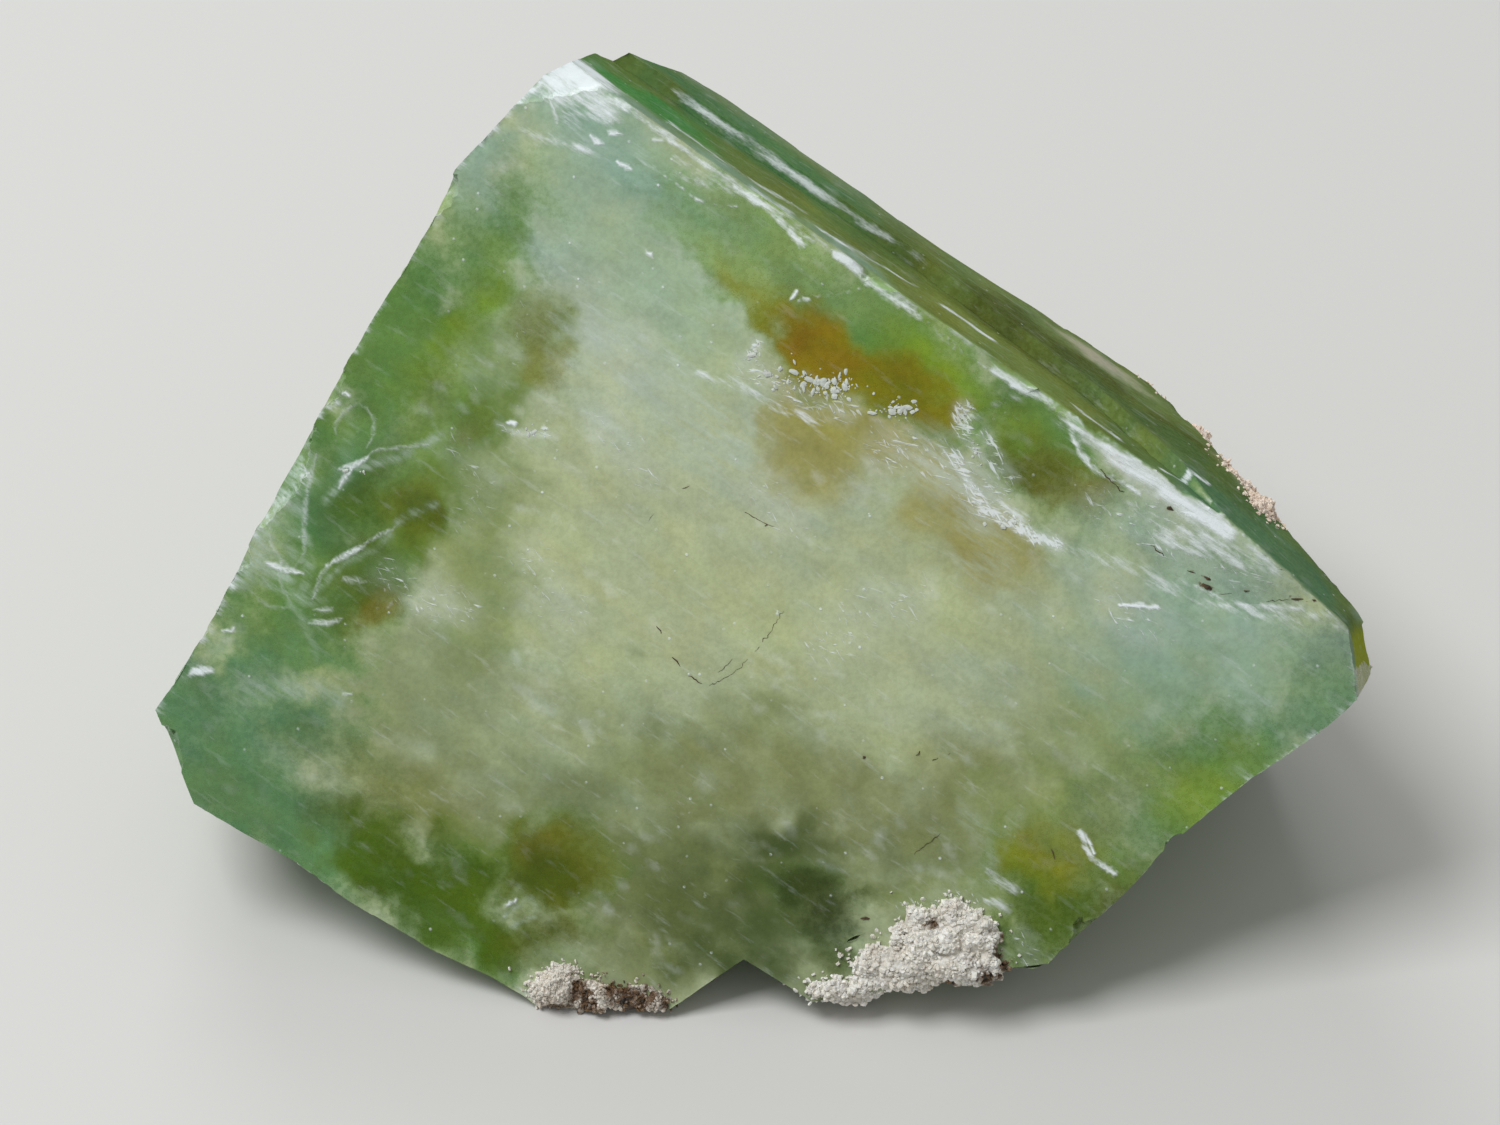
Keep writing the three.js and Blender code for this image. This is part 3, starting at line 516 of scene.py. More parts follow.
# The stilbite crusts. Each lies in a plane, as soft lobes: centre, half sizes, height.
FRONT_RIGHT_LOBES = [
    ((9.1, -15.1), (2.4, 1.8), 0.75),
    ((10.2, -15.9), (1.5, 1.3), 0.6),
    ((7.6, -16.3), (2.1, 1.2), 0.55),
    ((5.2, -17.5), (1.9, 0.7), 0.35),
]
FRONT_LEFT_LOBES = [
    ((-6.9, -18.2), (1.4, 1.0), 0.45),
    ((-5.3, -18.6), (1.8, 0.8), 0.3),
    ((-3.2, -18.5), (1.4, 0.6), 0.25),
]
BACK_LOBES = [
    ((-3.6, 2.9), (3.0, 3.3), 0.5),
    ((0.4, 1.4), (4.2, 3.7), 0.55),
    ((4.6, 1.2), (3.0, 2.9), 0.5),
]
RIM_LOBES = [
    ((-29.6, -9.2), (1.9, 2.6), 0.42),
    ((-30.4, -7.2), (1.3, 2.0), 0.36),
]

# Brown stains in the two front crusts: middle on the face, reach in mm, strength.
RIGHT_SOILS = [
    ((11.4, -15.7), 1.9, 0.56),
    ((9.7, -17.3), 1.6, 0.48),
    ((8.5, -14.1), 0.6, 0.52),
    ((6.4, -16.2), 1.0, 0.34),
]
LEFT_SOILS = [
    ((-5.0, -18.5), 1.7, 0.66),
    ((-3.2, -18.6), 2.6, 0.64),
    ((-6.4, -19.4), 1.6, 0.5),
]

OVERHANG = 0.35  # how far a crust's body hangs over the crystal's edge, in mm
BACK_OVERHANG = 0.9  # and how far the back crust's does
BACK_CRUST = np.array([19.05, 3.95, 8.0])  # the back crust's middle, in the frame in mm
BACK_N = np.array([0.898, 0.439, 0.0])  # and the way it faces
UP = np.array([0.0, 0.0, 1.0])

# Dark lint and dirt in cracks: points on the face, radius in mm, share that shows.
FIBRES = [
    ([(-3.7, -2.9), (-3.2, -3.6)], 0.016, 0.55),
    ([(-2.9, -4.2), (-2.6, -4.5)], 0.035, 1.0),
    ([(-2.2, -4.9), (-1.4, -5.3), (-0.3, -4.6), (0.8, -3.2), (1.5, -1.9), (2.1, -0.9)], 0.014, 0.4),
    ([(-1.0, -4.7), (-0.4, -4.0)], 0.016, 0.6),
    ([(7.4, -7.4), (8.1, -7.5), (8.8, -7.2)], 0.025, 0.7),
    ([(7.4, -7.4), (7.5, -7.2)], 0.05, 1.0),
    ([(5.2, -7.6), (5.3, -7.7)], 0.05, 1.0),
    ([(7.6, -11.5), (8.0, -11.1), (8.6, -10.6)], 0.022, 0.7),
    ([(-4.3, 1.3), (-4.1, 1.7)], 0.016, 0.8),
    ([(-3.0, 2.8), (-2.7, 2.9)], 0.028, 1.0),
    ([(-2.1, 2.8), (-0.9, 2.3), (0.2, 1.8), (0.9, 1.5)], 0.011, 0.4),
    ([(0.45, 1.6), (0.6, 1.55)], 0.035, 1.0),
    ([(16.3, 2.0), (16.9, 1.6), (17.6, 1.2)], 0.013, 0.6),
    ([(17.8, 1.1), (18.2, 1.0)], 0.022, 1.0),
    ([(18.6, 0.9), (18.8, 0.8)], 0.05, 1.0),
    ([(18.5, 0.55), (18.9, 0.4)], 0.085, 1.0),
    ([(19.2, 0.3), (19.7, 0.3)], 0.013, 1.0),
    ([(20.2, 0.45), (20.4, 0.45)], 0.035, 1.0),
    ([(21.1, 0.1), (22.1, 0.25)], 0.011, 0.7),
    ([(22.2, 0.3), (22.6, 0.3)], 0.038, 1.0),
    ([(23.0, 0.3), (23.2, 0.3)], 0.03, 1.0),
    ([(5.7, -14.3), (5.9, -14.4)], 0.07, 1.0),
    ([(16.8, 3.65), (17.05, 3.5)], 0.05, 1.0),
    ([(14.0, 5.0), (14.8, 4.2), (15.6, 3.8)], 0.014, 0.4),
    ([(13.2, -10.8), (13.4, -11.2)], 0.025, 1.0),
]

# ---- Places on the crystal ----


def on_face(places):
    """Places in mm as distances right, up and out of the front face."""
    return (places - FACE_ORIGIN) @ np.stack([FACE_U, FACE_V, FACE_N], axis=1)


def from_face(right, up, out=0.0):
    """The place in mm that lies so far right, up and out of the front face's origin."""
    return FACE_ORIGIN + FACE_U * right + FACE_V * up + FACE_N * out


WALL_START = from_face(*UPPER_EDGE[0])
WALL_RUN = from_face(*UPPER_EDGE[1]) - WALL_START
WALL_RUN /= np.linalg.norm(WALL_RUN)
WALL_N = np.cross(FACE_N, WALL_RUN) * math.cos(UPPER_FLARE) + FACE_N * math.sin(UPPER_FLARE)


def on_wall(places):
    """Places in mm as distances along the upper right edge, behind the face and off the wall."""
    return (places - WALL_START) @ np.stack([WALL_RUN, -FACE_N, WALL_N], axis=1)


# ---- Noise and ramps ----


def ramp(values, start, end):
    """From 0 at start to 1 at end, easing in and out."""
    share = np.clip((values - start) / (end - start), 0.0, 1.0)
    return share * share * (3.0 - 2.0 * share)


def lattice(x, y, z, seed):
    """A repeatable number from 0 to 1 for each whole-numbered place."""
    mixed = (x * 374761393 + y * 668265263 + z * 1440662683 + seed * 974634777) & 0xFFFFFFFF
    mixed = ((mixed ^ (mixed >> 13)) * 1274126177) & 0xFFFFFFFF
    mixed = ((mixed ^ (mixed >> 15)) * 2246822519) & 0xFFFFFFFF
    return ((mixed ^ (mixed >> 16)) & 0xFFFF) / 65535.0


def waves(places, size, seed):
    """Smooth noise from -1 to 1 whose features are about size mm across."""
    scaled = places / size + seed * 7.31
    cell = np.floor(scaled).astype(np.int64)
    part = scaled - cell
    ease = part * part * part * (part * (part * 6.0 - 15.0) + 10.0)
    total = np.zeros(len(places))
    for corner in range(8):
        step = (corner & 1, (corner >> 1) & 1, corner >> 2)
        weight = np.ones(len(places))
        for axis in range(3):
            weight *= ease[:, axis] if step[axis] else 1.0 - ease[:, axis]
        total += weight * lattice(*(cell + np.array(step)).T, seed)
    return total * 2.0 - 1.0


# How each finer layer of noise is turned, how much smaller and how much lower it is.
TWIST = np.array(Matrix.Rotation(1.1, 3, Vector((0.3, 0.8, 0.5))))
FINER = 0.47
LOWER = 0.55


def fractal(places, size, octaves, seed):
    """Noise with finer and finer detail, about -1 to 1."""
    total = np.zeros(len(places))
    height = 0.6
    for octave in range(octaves):
        total += height * waves(places, size, seed + octave)
        places = places @ TWIST
        size *= FINER
        height *= LOWER
    return total


# ---- Points and triangles ----


def with_zero(flat):
    """Flat places as places in space, at height 0."""
    return np.concatenate([flat, np.zeros((len(flat), 1))], axis=1)


def tree_of(places):
    """A tree that finds the nearest of the places."""
    tree = kdtree.KDTree(len(places))
    for index, place in enumerate(places):
        tree.insert(place, index)
    tree.balance()
    return tree


def distance_to(places, targets):
    """How far each place is from the nearest target."""
    tree = tree_of(targets)
    return np.array([tree.find(place)[2] for place in places])


def units(vectors):
    """The vectors, each made 1 long."""
    return vectors / np.maximum(np.linalg.norm(vectors, axis=1, keepdims=True), TINY)


def across_of(places, triangles):
    """Each triangle's normal, as long as twice its area."""
    a, b, c = (places[triangles[:, i]] for i in range(3))
    return np.cross(b - a, c - a)


def facing_of(places, triangles):
    """Each triangle's normal."""
    return units(across_of(places, triangles))


def normals_of(places, triangles):
    """Each point's normal, from the triangles round it."""
    across = across_of(places, triangles)
    total = np.zeros_like(places)
    for i in range(3):
        np.add.at(total, triangles[:, i], across)
    return units(total)


def edges_of(triangles):
    """Each edge once, as two points, and the triangle on either side of it."""
    pairs = np.concatenate([triangles[:, [0, 1]], triangles[:, [1, 2]], triangles[:, [2, 0]]])
    owner = np.tile(np.arange(len(triangles)), 3)
    ends = np.sort(pairs, axis=1)
    order = np.lexsort((ends[:, 1], ends[:, 0]))
    ends, owner = ends[order], owner[order]
    twin = np.flatnonzero((ends[1:] == ends[:-1]).all(axis=1))
    return ends[twin], owner[twin], owner[twin + 1]


def share_along(at, start, end):
    """How far from start to end each flat place lies, from 0 to 1."""
    run = end - start
    return np.clip((at - start) @ run / (run @ run), 0.0, 1.0)


def away_from(at, start, end):
    """How far each flat place is from the stretch between two points."""
    away = at - start - share_along(at, start, end)[:, None] * (end - start)
    return np.hypot(away[:, 0], away[:, 1])


def reach_in(at, centre, half, turned):
    """How far out in a turned ellipse each place lies: 1 on its outline."""
    angle = math.radians(turned)
    spin = np.array([[math.cos(angle), -math.sin(angle)], [math.sin(angle), math.cos(angle)]])
    return np.hypot(*(((at[:, :2] - centre) @ spin) / half).T)


# ---- The crystal's mesh ----


def flat_faces(node):
    """A node's corners in mm, and its flat faces as rings of corners with their normals."""
    shape = bmesh.new()
    shape.from_mesh(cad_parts[node].data)
    bmesh.ops.remove_doubles(shape, verts=shape.verts, dist=1e-6)
    bmesh.ops.dissolve_limit(
        shape, angle_limit=math.radians(0.6), verts=shape.verts, edges=shape.edges,
    )
    shape.verts.index_update()
    corners = np.array([v.co for v in shape.verts]) / MM
    rings = [[v.index for v in face.verts] for face in shape.faces]
    normals = np.array([face.normal for face in shape.faces])
    shape.free()
    return corners, rings, normals


def spacing_of(corners, ring, normal):
    """How finely a flat face is divided: by whether it faces down, to the front or elsewhere."""
    if normal[2] < -0.99:
        return COARSE
    if normal @ FACE_N > 0.5 and on_face(corners[ring])[:, 2].min() < 3.0:
        return FINE
    return MEDIUM


def inside_grid(flat, spacing, roll):
    """Slightly uneven rows of points inside a flat ring, clear of its own points."""
    low, high = flat.min(axis=0), flat.max(axis=0)
    rows = np.arange(low[1], high[1], spacing * ROW_HEIGHT)
    columns = np.arange(low[0], high[0] + spacing, spacing)
    grid = np.stack(np.meshgrid(columns, rows), axis=-1)
    grid[1::2, :, 0] += spacing / 2
    inner = grid.reshape(-1, 2)
    inner = inner + roll.uniform(-JITTER, JITTER, inner.shape) * spacing
    inner = inner[inside(inner, flat)]
    if len(inner):
        tree = tree_of(with_zero(flat))
        inner = inner[[tree.find(place)[2] > CLEARANCE * spacing for place in with_zero(inner)]]
    return inner


def filled(ring_places, normal, spacing, roll):
    """The points inside a flat face and its triangles, as indices into ring and points."""
    across = np.cross(normal, FACE_U if abs(normal @ FACE_U) < 0.9 else FACE_V)
    across /= np.linalg.norm(across)
    basis = np.stack([np.cross(across, normal), across], axis=1)
    middle = ring_places.mean(axis=0)
    flat = (ring_places - middle) @ basis
    inner = inside_grid(flat, spacing, roll)
    joined = [Vector(place) for place in np.concatenate([flat, inner])]
    loop = list(range(len(flat)))
    edges = [(i, (i + 1) % len(flat)) for i in loop]
    result = geometry.delaunay_2d_cdt(joined, edges, [loop], 1, 1e-7)
    triangles = [[result[3][i][0] for i in face] for face in result[2]]
    return middle + inner @ basis.T, triangles


def inside(places, ring):
    """Which places lie inside a ring, by counting the edges to their right."""
    count = np.zeros(len(places), dtype=int)
    for (ax, ay), (bx, by) in zip(ring, np.roll(ring, -1, axis=0)):
        if ay == by:
            continue
        spans = (places[:, 1] >= min(ay, by)) & (places[:, 1] < max(ay, by))
        crossing = ax + (places[:, 1] - ay) * (bx - ax) / (by - ay)
        count += spans & (crossing > places[:, 0])
    return count % 2 == 1


def divided(node):
    """A node's solid divided evenly: points in mm and triangles."""
    corners, rings, normals = flat_faces(node)
    roll = np.random.default_rng(POINTS_SEED)
    spacings = [spacing_of(corners, ring, normal) for ring, normal in zip(rings, normals)]
    finest = {}
    for ring, spacing in zip(rings, spacings):
        for a, b in zip(ring, ring[1:] + ring[:1]):
            key = (min(a, b), max(a, b))
            finest[key] = min(finest.get(key, spacing), spacing)
    places = list(corners)
    between = {}
    for (a, b), spacing in finest.items():
        length = np.linalg.norm(corners[b] - corners[a])
        count = max(1, round(length / spacing))
        between[a, b] = list(range(len(places), len(places) + count - 1))
        places += [corners[a] + (corners[b] - corners[a]) * i / count for i in range(1, count)]
    triangles = []
    for ring, normal, spacing in zip(rings, normals, spacings):
        loop = []
        for a, b in zip(ring, ring[1:] + ring[:1]):
            loop += [a] + (between[a, b] if a < b else between[b, a][::-1])
        inner, found = filled(np.array([places[i] for i in loop]), normal, spacing, roll)
        names = loop + list(range(len(places), len(places) + len(inner)))
        places += list(inner)
        triangles += [[names[i] for i in triangle] for triangle in found]
    return np.array(places), np.array(triangles)


OWN_SHARE = 0.35  # how much of its own place a point keeps in each round of smoothing


def smoothed(places, edges, free, rounds):
    """The points, with the free ones drawn towards their neighbours' middle."""
    count = np.bincount(edges.ravel(), minlength=len(places))[:, None]
    for _ in range(rounds):
        total = np.zeros_like(places)
        np.add.at(total, edges[:, 0], places[edges[:, 1]])
        np.add.at(total, edges[:, 1], places[edges[:, 0]])
        drawn = OWN_SHARE * places + (1.0 - OWN_SHARE) * total / count
        places = np.where(free[:, None], drawn, places)
    return places


def within(at, ring):
    """How far inside a ring on the face each place lies, less than 0 outside it."""
    best = np.full(len(at), FAR)
    for start, end in zip(ring, np.roll(ring, -1, axis=0)):
        best = np.minimum(best, away_from(at, start, end))
    return np.where(inside(at, ring), best, -best)


LAYER_DEPTH = 1.3  # how thick the crystal's cleavage layers are, in mm
LAYER_STEP = 5.7  # how far apart two layers lie in the noise that shapes them
LEDGE_WIDTH = 4.0  # how wide the ledges are, in mm


def cleavage_layer(places):
    """Which cleavage layer each place on a broken surface is in, counted from the front."""
    wander = 0.9 * waves(places, 9.0, 3) + 0.35 * waves(places, 2.8, 4)
    return on_face(places)[:, 2] / LAYER_DEPTH + wander


def broken_relief(places):
    """Height of a broken surface in mm: ripples, and ledges along the crystal's cleavage."""
    wide = on_face(places)[:, :2] / LEDGE_WIDTH
    layer = cleavage_layer(places)
    level = np.floor(layer).astype(np.int64)
    here, there = (
        waves(np.stack([wide[:, 0], wide[:, 1], number * LAYER_STEP], axis=1), 1.0, 5)
        for number in (level, level + 1)
    )
    ledges = here + (there - here) * ramp(layer - level, 0.72, 0.95)
    return 0.17 * ledges + 0.13 * fractal(places, 3.1, 4, 6) - 0.06


SEAT_REACH = 1.25  # how far out the hollows' points are looked for, in half sizes
SEAT_DEPTH = 1.8  # and how far down, in mm
FILL_SHARE = 0.97  # how much of the hollows is filled
WEAR_SHARE = 0.99  # and how much of the flake's step is worn down


def seat_depth(face, normals):
    """How deep in the crusts' hollows each place lies, in mm."""
    result = np.zeros(len(face))
    low = (face[:, 2] < -0.02) & (face[:, 2] > -SEAT_DEPTH) & (normals @ FACE_N > 0.25)
    for middle, half, turned in SEATS:
        hollow = low & (reach_in(face, middle, half, turned) < SEAT_REACH)
        result = np.where(hollow, -face[:, 2], result)
    return result


def evened(places, triangles):
    """The points, with the flake's step worn to a slope and the crusts' hollows filled.

    It also says which points are at the step or in a hollow.
    """
    face = on_face(places)
    depth = seat_depth(face, normals_of(places, triangles))
    places = places + np.outer(FILL_SHARE * depth, FACE_N)
    scar = within(face[:, :2], np.array(SCAR))
    shallow = face[:, 2] > -SCAR_DEPTH - 0.05
    worn = SCAR_DEPTH * ramp(scar, -SCAR_SLOPE, SCAR_SLOPE) + face[:, 2]
    inner = ramp(-on_wall(places)[:, 2], -0.1, 0.4)
    worn = shallow * (depth == 0.0) * WEAR_SHARE * worn * inner
    places = places - np.outer(worn, FACE_N)
    return places, (shallow & (np.abs(scar) < 0.02)) | (depth > 0.0)


SAME_WAY = 0.9985  # the cosine between two directions that count as the same
ROUNDS = 7  # how many times the breaks are smoothed
SHARP_TURN = math.radians(40)  # breaks stay sharp where they turn by more than this
RIM_TURN = math.radians(24)  # and the relief fades out towards edges that turn by more


def on_edges(edges, count):
    """Which of so many points lie on the edges."""
    result = np.zeros(count, dtype=bool)
    result[edges.ravel()] = True
    return result


def relief_of(places, normals, off):
    """The height of the fine relief in mm, at places so far off the crystal's edges."""
    face = on_face(places)
    wall = on_wall(places)
    front = ramp(normals @ FACE_N, 0.9, 0.985) * ramp(face[:, 2], -0.6, -0.4)
    upper = ramp(normals @ WALL_N, 0.93, 0.99) * ramp(wall[:, 2], -1.2, -0.9)
    based = ramp(-normals[:, 2], 0.95, 0.99) * ramp(-places[:, 2], -0.2, -0.01)
    rough = (1.0 - front) * (1.0 - upper) * (1.0 - based)
    bruise = marked(face, BRUISES_AND_SHEEN + SUGARED) * front

    swells = 0.02 * waves(places, 6.0, 11) + 0.012 * fractal(places, 1.3, 2, 12)
    pits = 0.045 * fractal(places, 0.6, 2, 14) - 0.03
    along = np.stack([wall[:, 0] / 9.0, wall[:, 1] / 0.55, wall[:, 2] * 0.0], axis=1)
    grooves = 0.035 * waves(along, 1.0, 15) + 0.03 * waves(places, 3.0, 16)
    nicks = ramp(fractal(places, 1.5, 3, 17), -0.05, 0.65)
    worn = 0.015 + nicks * (0.05 + 0.08 * ramp(face[:, 0], 4.0, 12.0))

    height = rough * ramp(off, 0.0, 1.1) * broken_relief(places)
    height += front * swells
    height += front * ramp(off, 0.1, 0.6) * bruise * pits
    height += upper * ramp(off, 0.0, 0.8) * grooves
    return height - (1.0 - based) * ramp(-off, -0.5, 0.05) * worn


def crystal_shape():
    """The crystal's points in mm and its triangles, broken, worn and grown as the real one."""
    places, triangles = divided("apophyllite_crystal")
    places, healed = evened(places, triangles)
    faced = facing_of(places, triangles)
    edges, one, other = edges_of(triangles)
    turn = np.einsum("ij,ij->i", faced[one], faced[other])
    broken = np.ones(len(places), dtype=bool)
    for plane in (FACE_N, WALL_N, -UP):
        broken[triangles[faced @ plane > SAME_WAY].ravel()] = False
    broken &= ~healed
    sharp = on_edges(edges[turn < math.cos(SHARP_TURN)], len(places))
    places = smoothed(places, edges, broken & ~sharp, ROUNDS)

    normals = normals_of(places, triangles)
    rim = on_edges(edges[turn < math.cos(RIM_TURN)], len(places))
    rim &= (~broken | sharp) & ~(healed & (normals @ FACE_N > 0.85))
    off = distance_to(places, places[rim])
    return places + normals * relief_of(places, normals, off)[:, None], triangles


# ---- The crystal's colours ----


LINE_REACH = 1.6  # how far a line's soft edge reaches, in widths


def near_line(at, line, width, tapered):
    """How near each place on the face is to a line: 1 on it, 0 where its soft edge ends.

    A tapered line is thinner towards its two ends.
    """
    line = np.array(line)
    reach = width * LINE_REACH
    low, high = line.min(axis=0) - reach, line.max(axis=0) + reach
    close = np.flatnonzero(((at[:, :2] > low) & (at[:, :2] < high)).all(axis=1))
    near = at[close, :2]
    best = np.full(len(close), FAR)
    for start, end in zip(line[:-1], line[1:]):
        best = np.minimum(best, away_from(near, start, end) / width)
    if tapered:
        share = share_along(near, line[0], line[-1])
        best /= 0.4 + 0.6 * (1.0 - (2.0 * share - 1.0) ** 2)
    result = np.zeros(len(at))
    result[close] = 1.0 - ramp(best, 0.25, LINE_REACH)
    return result


def flatly(at):
    """Places on a face or wall, with their height left out, for noise that lies in it."""
    return at * np.array([1.0, 1.0, 0.15])


def warped(at, far):
    """Places on a face or wall, shifted by noise so that no border is smooth."""
    shift = np.stack([
        fractal(flatly(at), 4.2, 4, 21), fractal(flatly(at), 4.2, 4, 31), np.zeros(len(at)),
    ], axis=1)
    return at + far * shift


def marked(face, marks, far=0.28, tapered=False):
    """How strongly each place on the front face is marked by lines, which noise shifts."""
    at = warped(face, far)
    result = np.zeros(len(face))
    for line, width, strength in marks:
        result = np.maximum(result, strength * near_line(at, line, width, tapered))
    return result


def over(under, top, share):
    """Rows of values with others laid over them, each by its row's share."""
    return under + (top - under) * share[:, None]


class Tones:
    """At each point, the crystal's own colour, the white cloud's colour, and its cover."""

    def __init__(self, count, deep, cloud, cover):
        self.deep = np.tile(deep, (count, 1))
        self.cloud = np.tile(cloud, (count, 1))
        self.cover = np.full(count, cover)

    def lay(self, colour, clarity, share):
        """Lays a colour over: on the crystal where it is clear, on its cloud where not."""
        if clarity > 0.0:
            cloud_left = max(0.0, 0.8 - 1.7 * clarity)
            self.deep = over(self.deep, np.array(colour), np.minimum(share * 1.3, 1.0))
            self.cover += (cloud_left - self.cover) * share
        else:
            self.cloud = over(self.cloud, np.array(colour), share)
            self.cover += (1.0 - self.cover) * share

    def lay_all(self, other, share):
        """Lays other tones over these."""
        self.deep = over(self.deep, other.deep, share)
        self.cloud = over(self.cloud, other.cloud, share)
        self.cover += (other.cover - self.cover) * share


def patched(tones, at, patches):
    """Tones with soft patches laid over them."""
    loose = 0.3 * waves(flatly(at), 2.3, 41) + 0.34 * fractal(flatly(at), 1.0, 3, 42)
    for centre, half, turned, colour, strength, clarity in patches:
        reach = reach_in(at, centre, half, turned)
        tones.lay(colour, clarity, strength * (1.0 - ramp(reach + loose, 0.2, 1.36)))
    return tones


def mottled(tones, face):
    """Creamy and bluish wisps and small white flecks, drawn out along the cleavage."""
    along = np.array([math.cos(EDGE_SLOPE), -math.sin(EDGE_SLOPE), 0.0])
    drawn = flatly(face) - 0.45 * (face @ along)[:, None] * along
    wisps = fractal(drawn, 1.7, 3, 71)
    small = fractal(drawn, 0.7, 2, 81)
    hues = fractal(drawn, 0.8, 2, 85)
    tones.cloud *= 1.0 + np.outer(wisps, (0.05, 0.04, -0.08)) + np.outer(hues, (0.04, 0.0, -0.09))
    tones.cloud *= 1.0 + 0.13 * small[:, None]
    tones.deep *= 1.0 + np.outer(wisps, (0.24, 0.16, 0.1)) + np.outer(hues, (0.16, 0.0, -0.1))
    tones.deep *= 1.0 + 0.15 * small[:, None]
    flecks = ramp(fractal(drawn, 0.5, 2, 91), 0.25, 0.7)
    flecks *= ramp(fractal(face, 3.4, 3, 95), -0.3, 0.4)
    tones.cloud = over(tones.cloud, np.array(FROST_AND_GLINT_WHITE), 0.15 * flecks)
    tones.deep = over(tones.deep, np.array(FROST_AND_GLINT_WHITE), 0.1 * flecks)


def break_tones(places):
    """The tones of the broken sides, the back and the base."""
    tones = Tones(len(places), FROND, SAGE, 0.4)
    layers = (
        (JADE, 11.0, 51, 0.0, 0.4),
        (HAZE, 9.0, 52, 0.1, 0.0),
        (SPRING, 7.0, 53, 0.15, 0.2),
        (SAGE, 6.0, 54, 0.1, 0.0),
        (CLOVER, 5.0, 55, 0.3, 0.0),
    )
    for colour, size, seed, start, clarity in layers:
        share = 0.7 * ramp(fractal(places, size, 2, seed), start - 0.4, start + 0.4)
        tones.lay(colour, clarity, share)
    cloud = np.linalg.norm((on_face(places) - CLOUD_CENTRE) / CLOUD_HALF, axis=1)
    share = 0.9 * (1.0 - ramp(cloud + 0.3 * fractal(places, 4.0, 3, 56), 0.75, 1.35))
    tones.lay(PALE, 0.0, share)
    return tones


STEP_MIDDLE = 0.34  # how far off the wall the middle of its step lies, in mm


def zones(places, normals, loose):
    """How far each point is part of the front face, of the upper wall, and of its step."""
    off = on_wall(places)[:, 2]
    depth = -on_face(places)[:, 2]
    frontal = normals @ FACE_N
    on_front = ramp(frontal, 0.8, 0.95) * (1.0 - ramp(depth, 0.5, 1.1))
    by_place = (1.0 - ramp(depth, 0.35, 0.6)) * ramp(-off, 0.1, 0.35)
    on_front = np.maximum(on_front, by_place)
    near_upper = ramp(off, -2.4, -1.4) * ramp(normals @ WALL_N, -0.3, 0.5)
    step = ramp(frontal, 0.15, 0.4) * ramp(off, -0.2, -0.1) * ramp(depth, 1.0, 2.0)
    on_upper = np.maximum(near_upper, step) * ramp(depth + 0.2 * loose, 0.0, 0.35)
    on_upper *= 1.0 - on_front
    return on_front, on_upper, step * on_upper


def crystal_tones(places, on_front, on_upper, loose):
    """The crystal's tones at each point."""
    face, wall = on_face(places), on_wall(places)
    tones = break_tones(places)
    face_tones = patched(Tones(len(places), LEAF, PALE, 0.95), warped(face, 1.2), PATCHES)
    tones.lay_all(face_tones, 1.0 - ramp(loose - face[:, 2], 0.3, 3.2))
    wall_tones = Tones(len(places), GLASS_OLIVE, SAGE, 0.1)
    tones.lay_all(patched(wall_tones, warped(wall, 0.9), WALL_PATCHES), on_upper)
    mottled(tones, face)
    tip = ramp(wall[:, 0], TIP_FACET, TIP_FACET + 0.7) * (1.0 - on_front)
    tip *= 1.0 - ramp(np.linalg.norm(face - RIGHT_TIP, axis=1), 3.4, 5.4)
    tones.lay(LEMON, 0.3, tip * (1.0 - ramp(face[:, 1], -1.6, -0.6)))
    return tones


def wall_frost_and_sheen(places, on_upper, on_step):
    """How white each point is from the wall's streaks and from the line along its step: partly
    wear, partly painted reflection and glint.
    """
    wall = on_wall(places)
    streaks = marked(wall * np.array([1.0, DEPTH_SHARE, 1.0]), STREAKS, 0.3) * on_upper
    streaks *= 1.0 - ramp(wall[:, 2], 0.5, 0.62)
    # The line along the step: partly white wear, partly painted glint.
    core = 1.0 - ramp(np.abs(wall[:, 2] - STEP_MIDDLE), 0.04, STEP_MIDDLE)
    core *= ramp(wall[:, 0], -1.6, 1.0) * (1.0 - ramp(wall[:, 0], 10.0, 15.0))
    core *= 0.8 + 0.4 * fractal(places, 1.6, 2, 66)
    return np.maximum(streaks, 0.72 * on_step * core)


def break_frost(places):
    """How white each point of a break is from its chips and ledges."""
    part = cleavage_layer(places) % 1.0
    ledges = 1.0 - ramp(np.abs(part - 0.84), 0.04, 0.2)
    ledges *= ramp(fractal(places, 3.0, 2, 65), -0.3, 0.4)
    return 0.04 + 0.2 * fractal(places, 1.3, 3, 62) + 0.3 * ledges


def white_wear_and_sheen(places, on_front, on_upper, on_step, shown, ridges):
    """How white and rough each point is: from bruises, chips and wear, and from painted sheen and
    highlight.
    """
    face = on_face(places)
    # White along sharp edges: partly worn chips, partly painted highlight, fading towards the
    # bottom.
    edges = 0.5 * (1.0 - ramp(ridges, 0.02, 0.36)) * (0.6 + fractal(places, 1.2, 3, 63))
    edges *= (1.0 - on_upper) * (0.2 + 0.8 * ramp(face[:, 1], -12.0, -4.0))
    clear_tip = ramp(np.linalg.norm(face - RIGHT_TIP, axis=1), 3.0, 6.0)
    chips = break_frost(places) * (1.0 - on_front) * (1.0 - on_upper) * clear_tip
    # The top is whitened: partly bruising, partly painted highlight.
    apex = 1.0 - ramp(np.linalg.norm(face - APEX, axis=1), 1.1, 2.8)
    frost_and_sheen = np.maximum(marked(face, BRUISES_AND_SHEEN) * shown, wall_frost_and_sheen(places, on_upper, on_step))
    frost_and_sheen = np.maximum(frost_and_sheen, np.clip(np.maximum(edges, chips), 0.0, 0.7))
    return np.maximum(frost_and_sheen, apex)


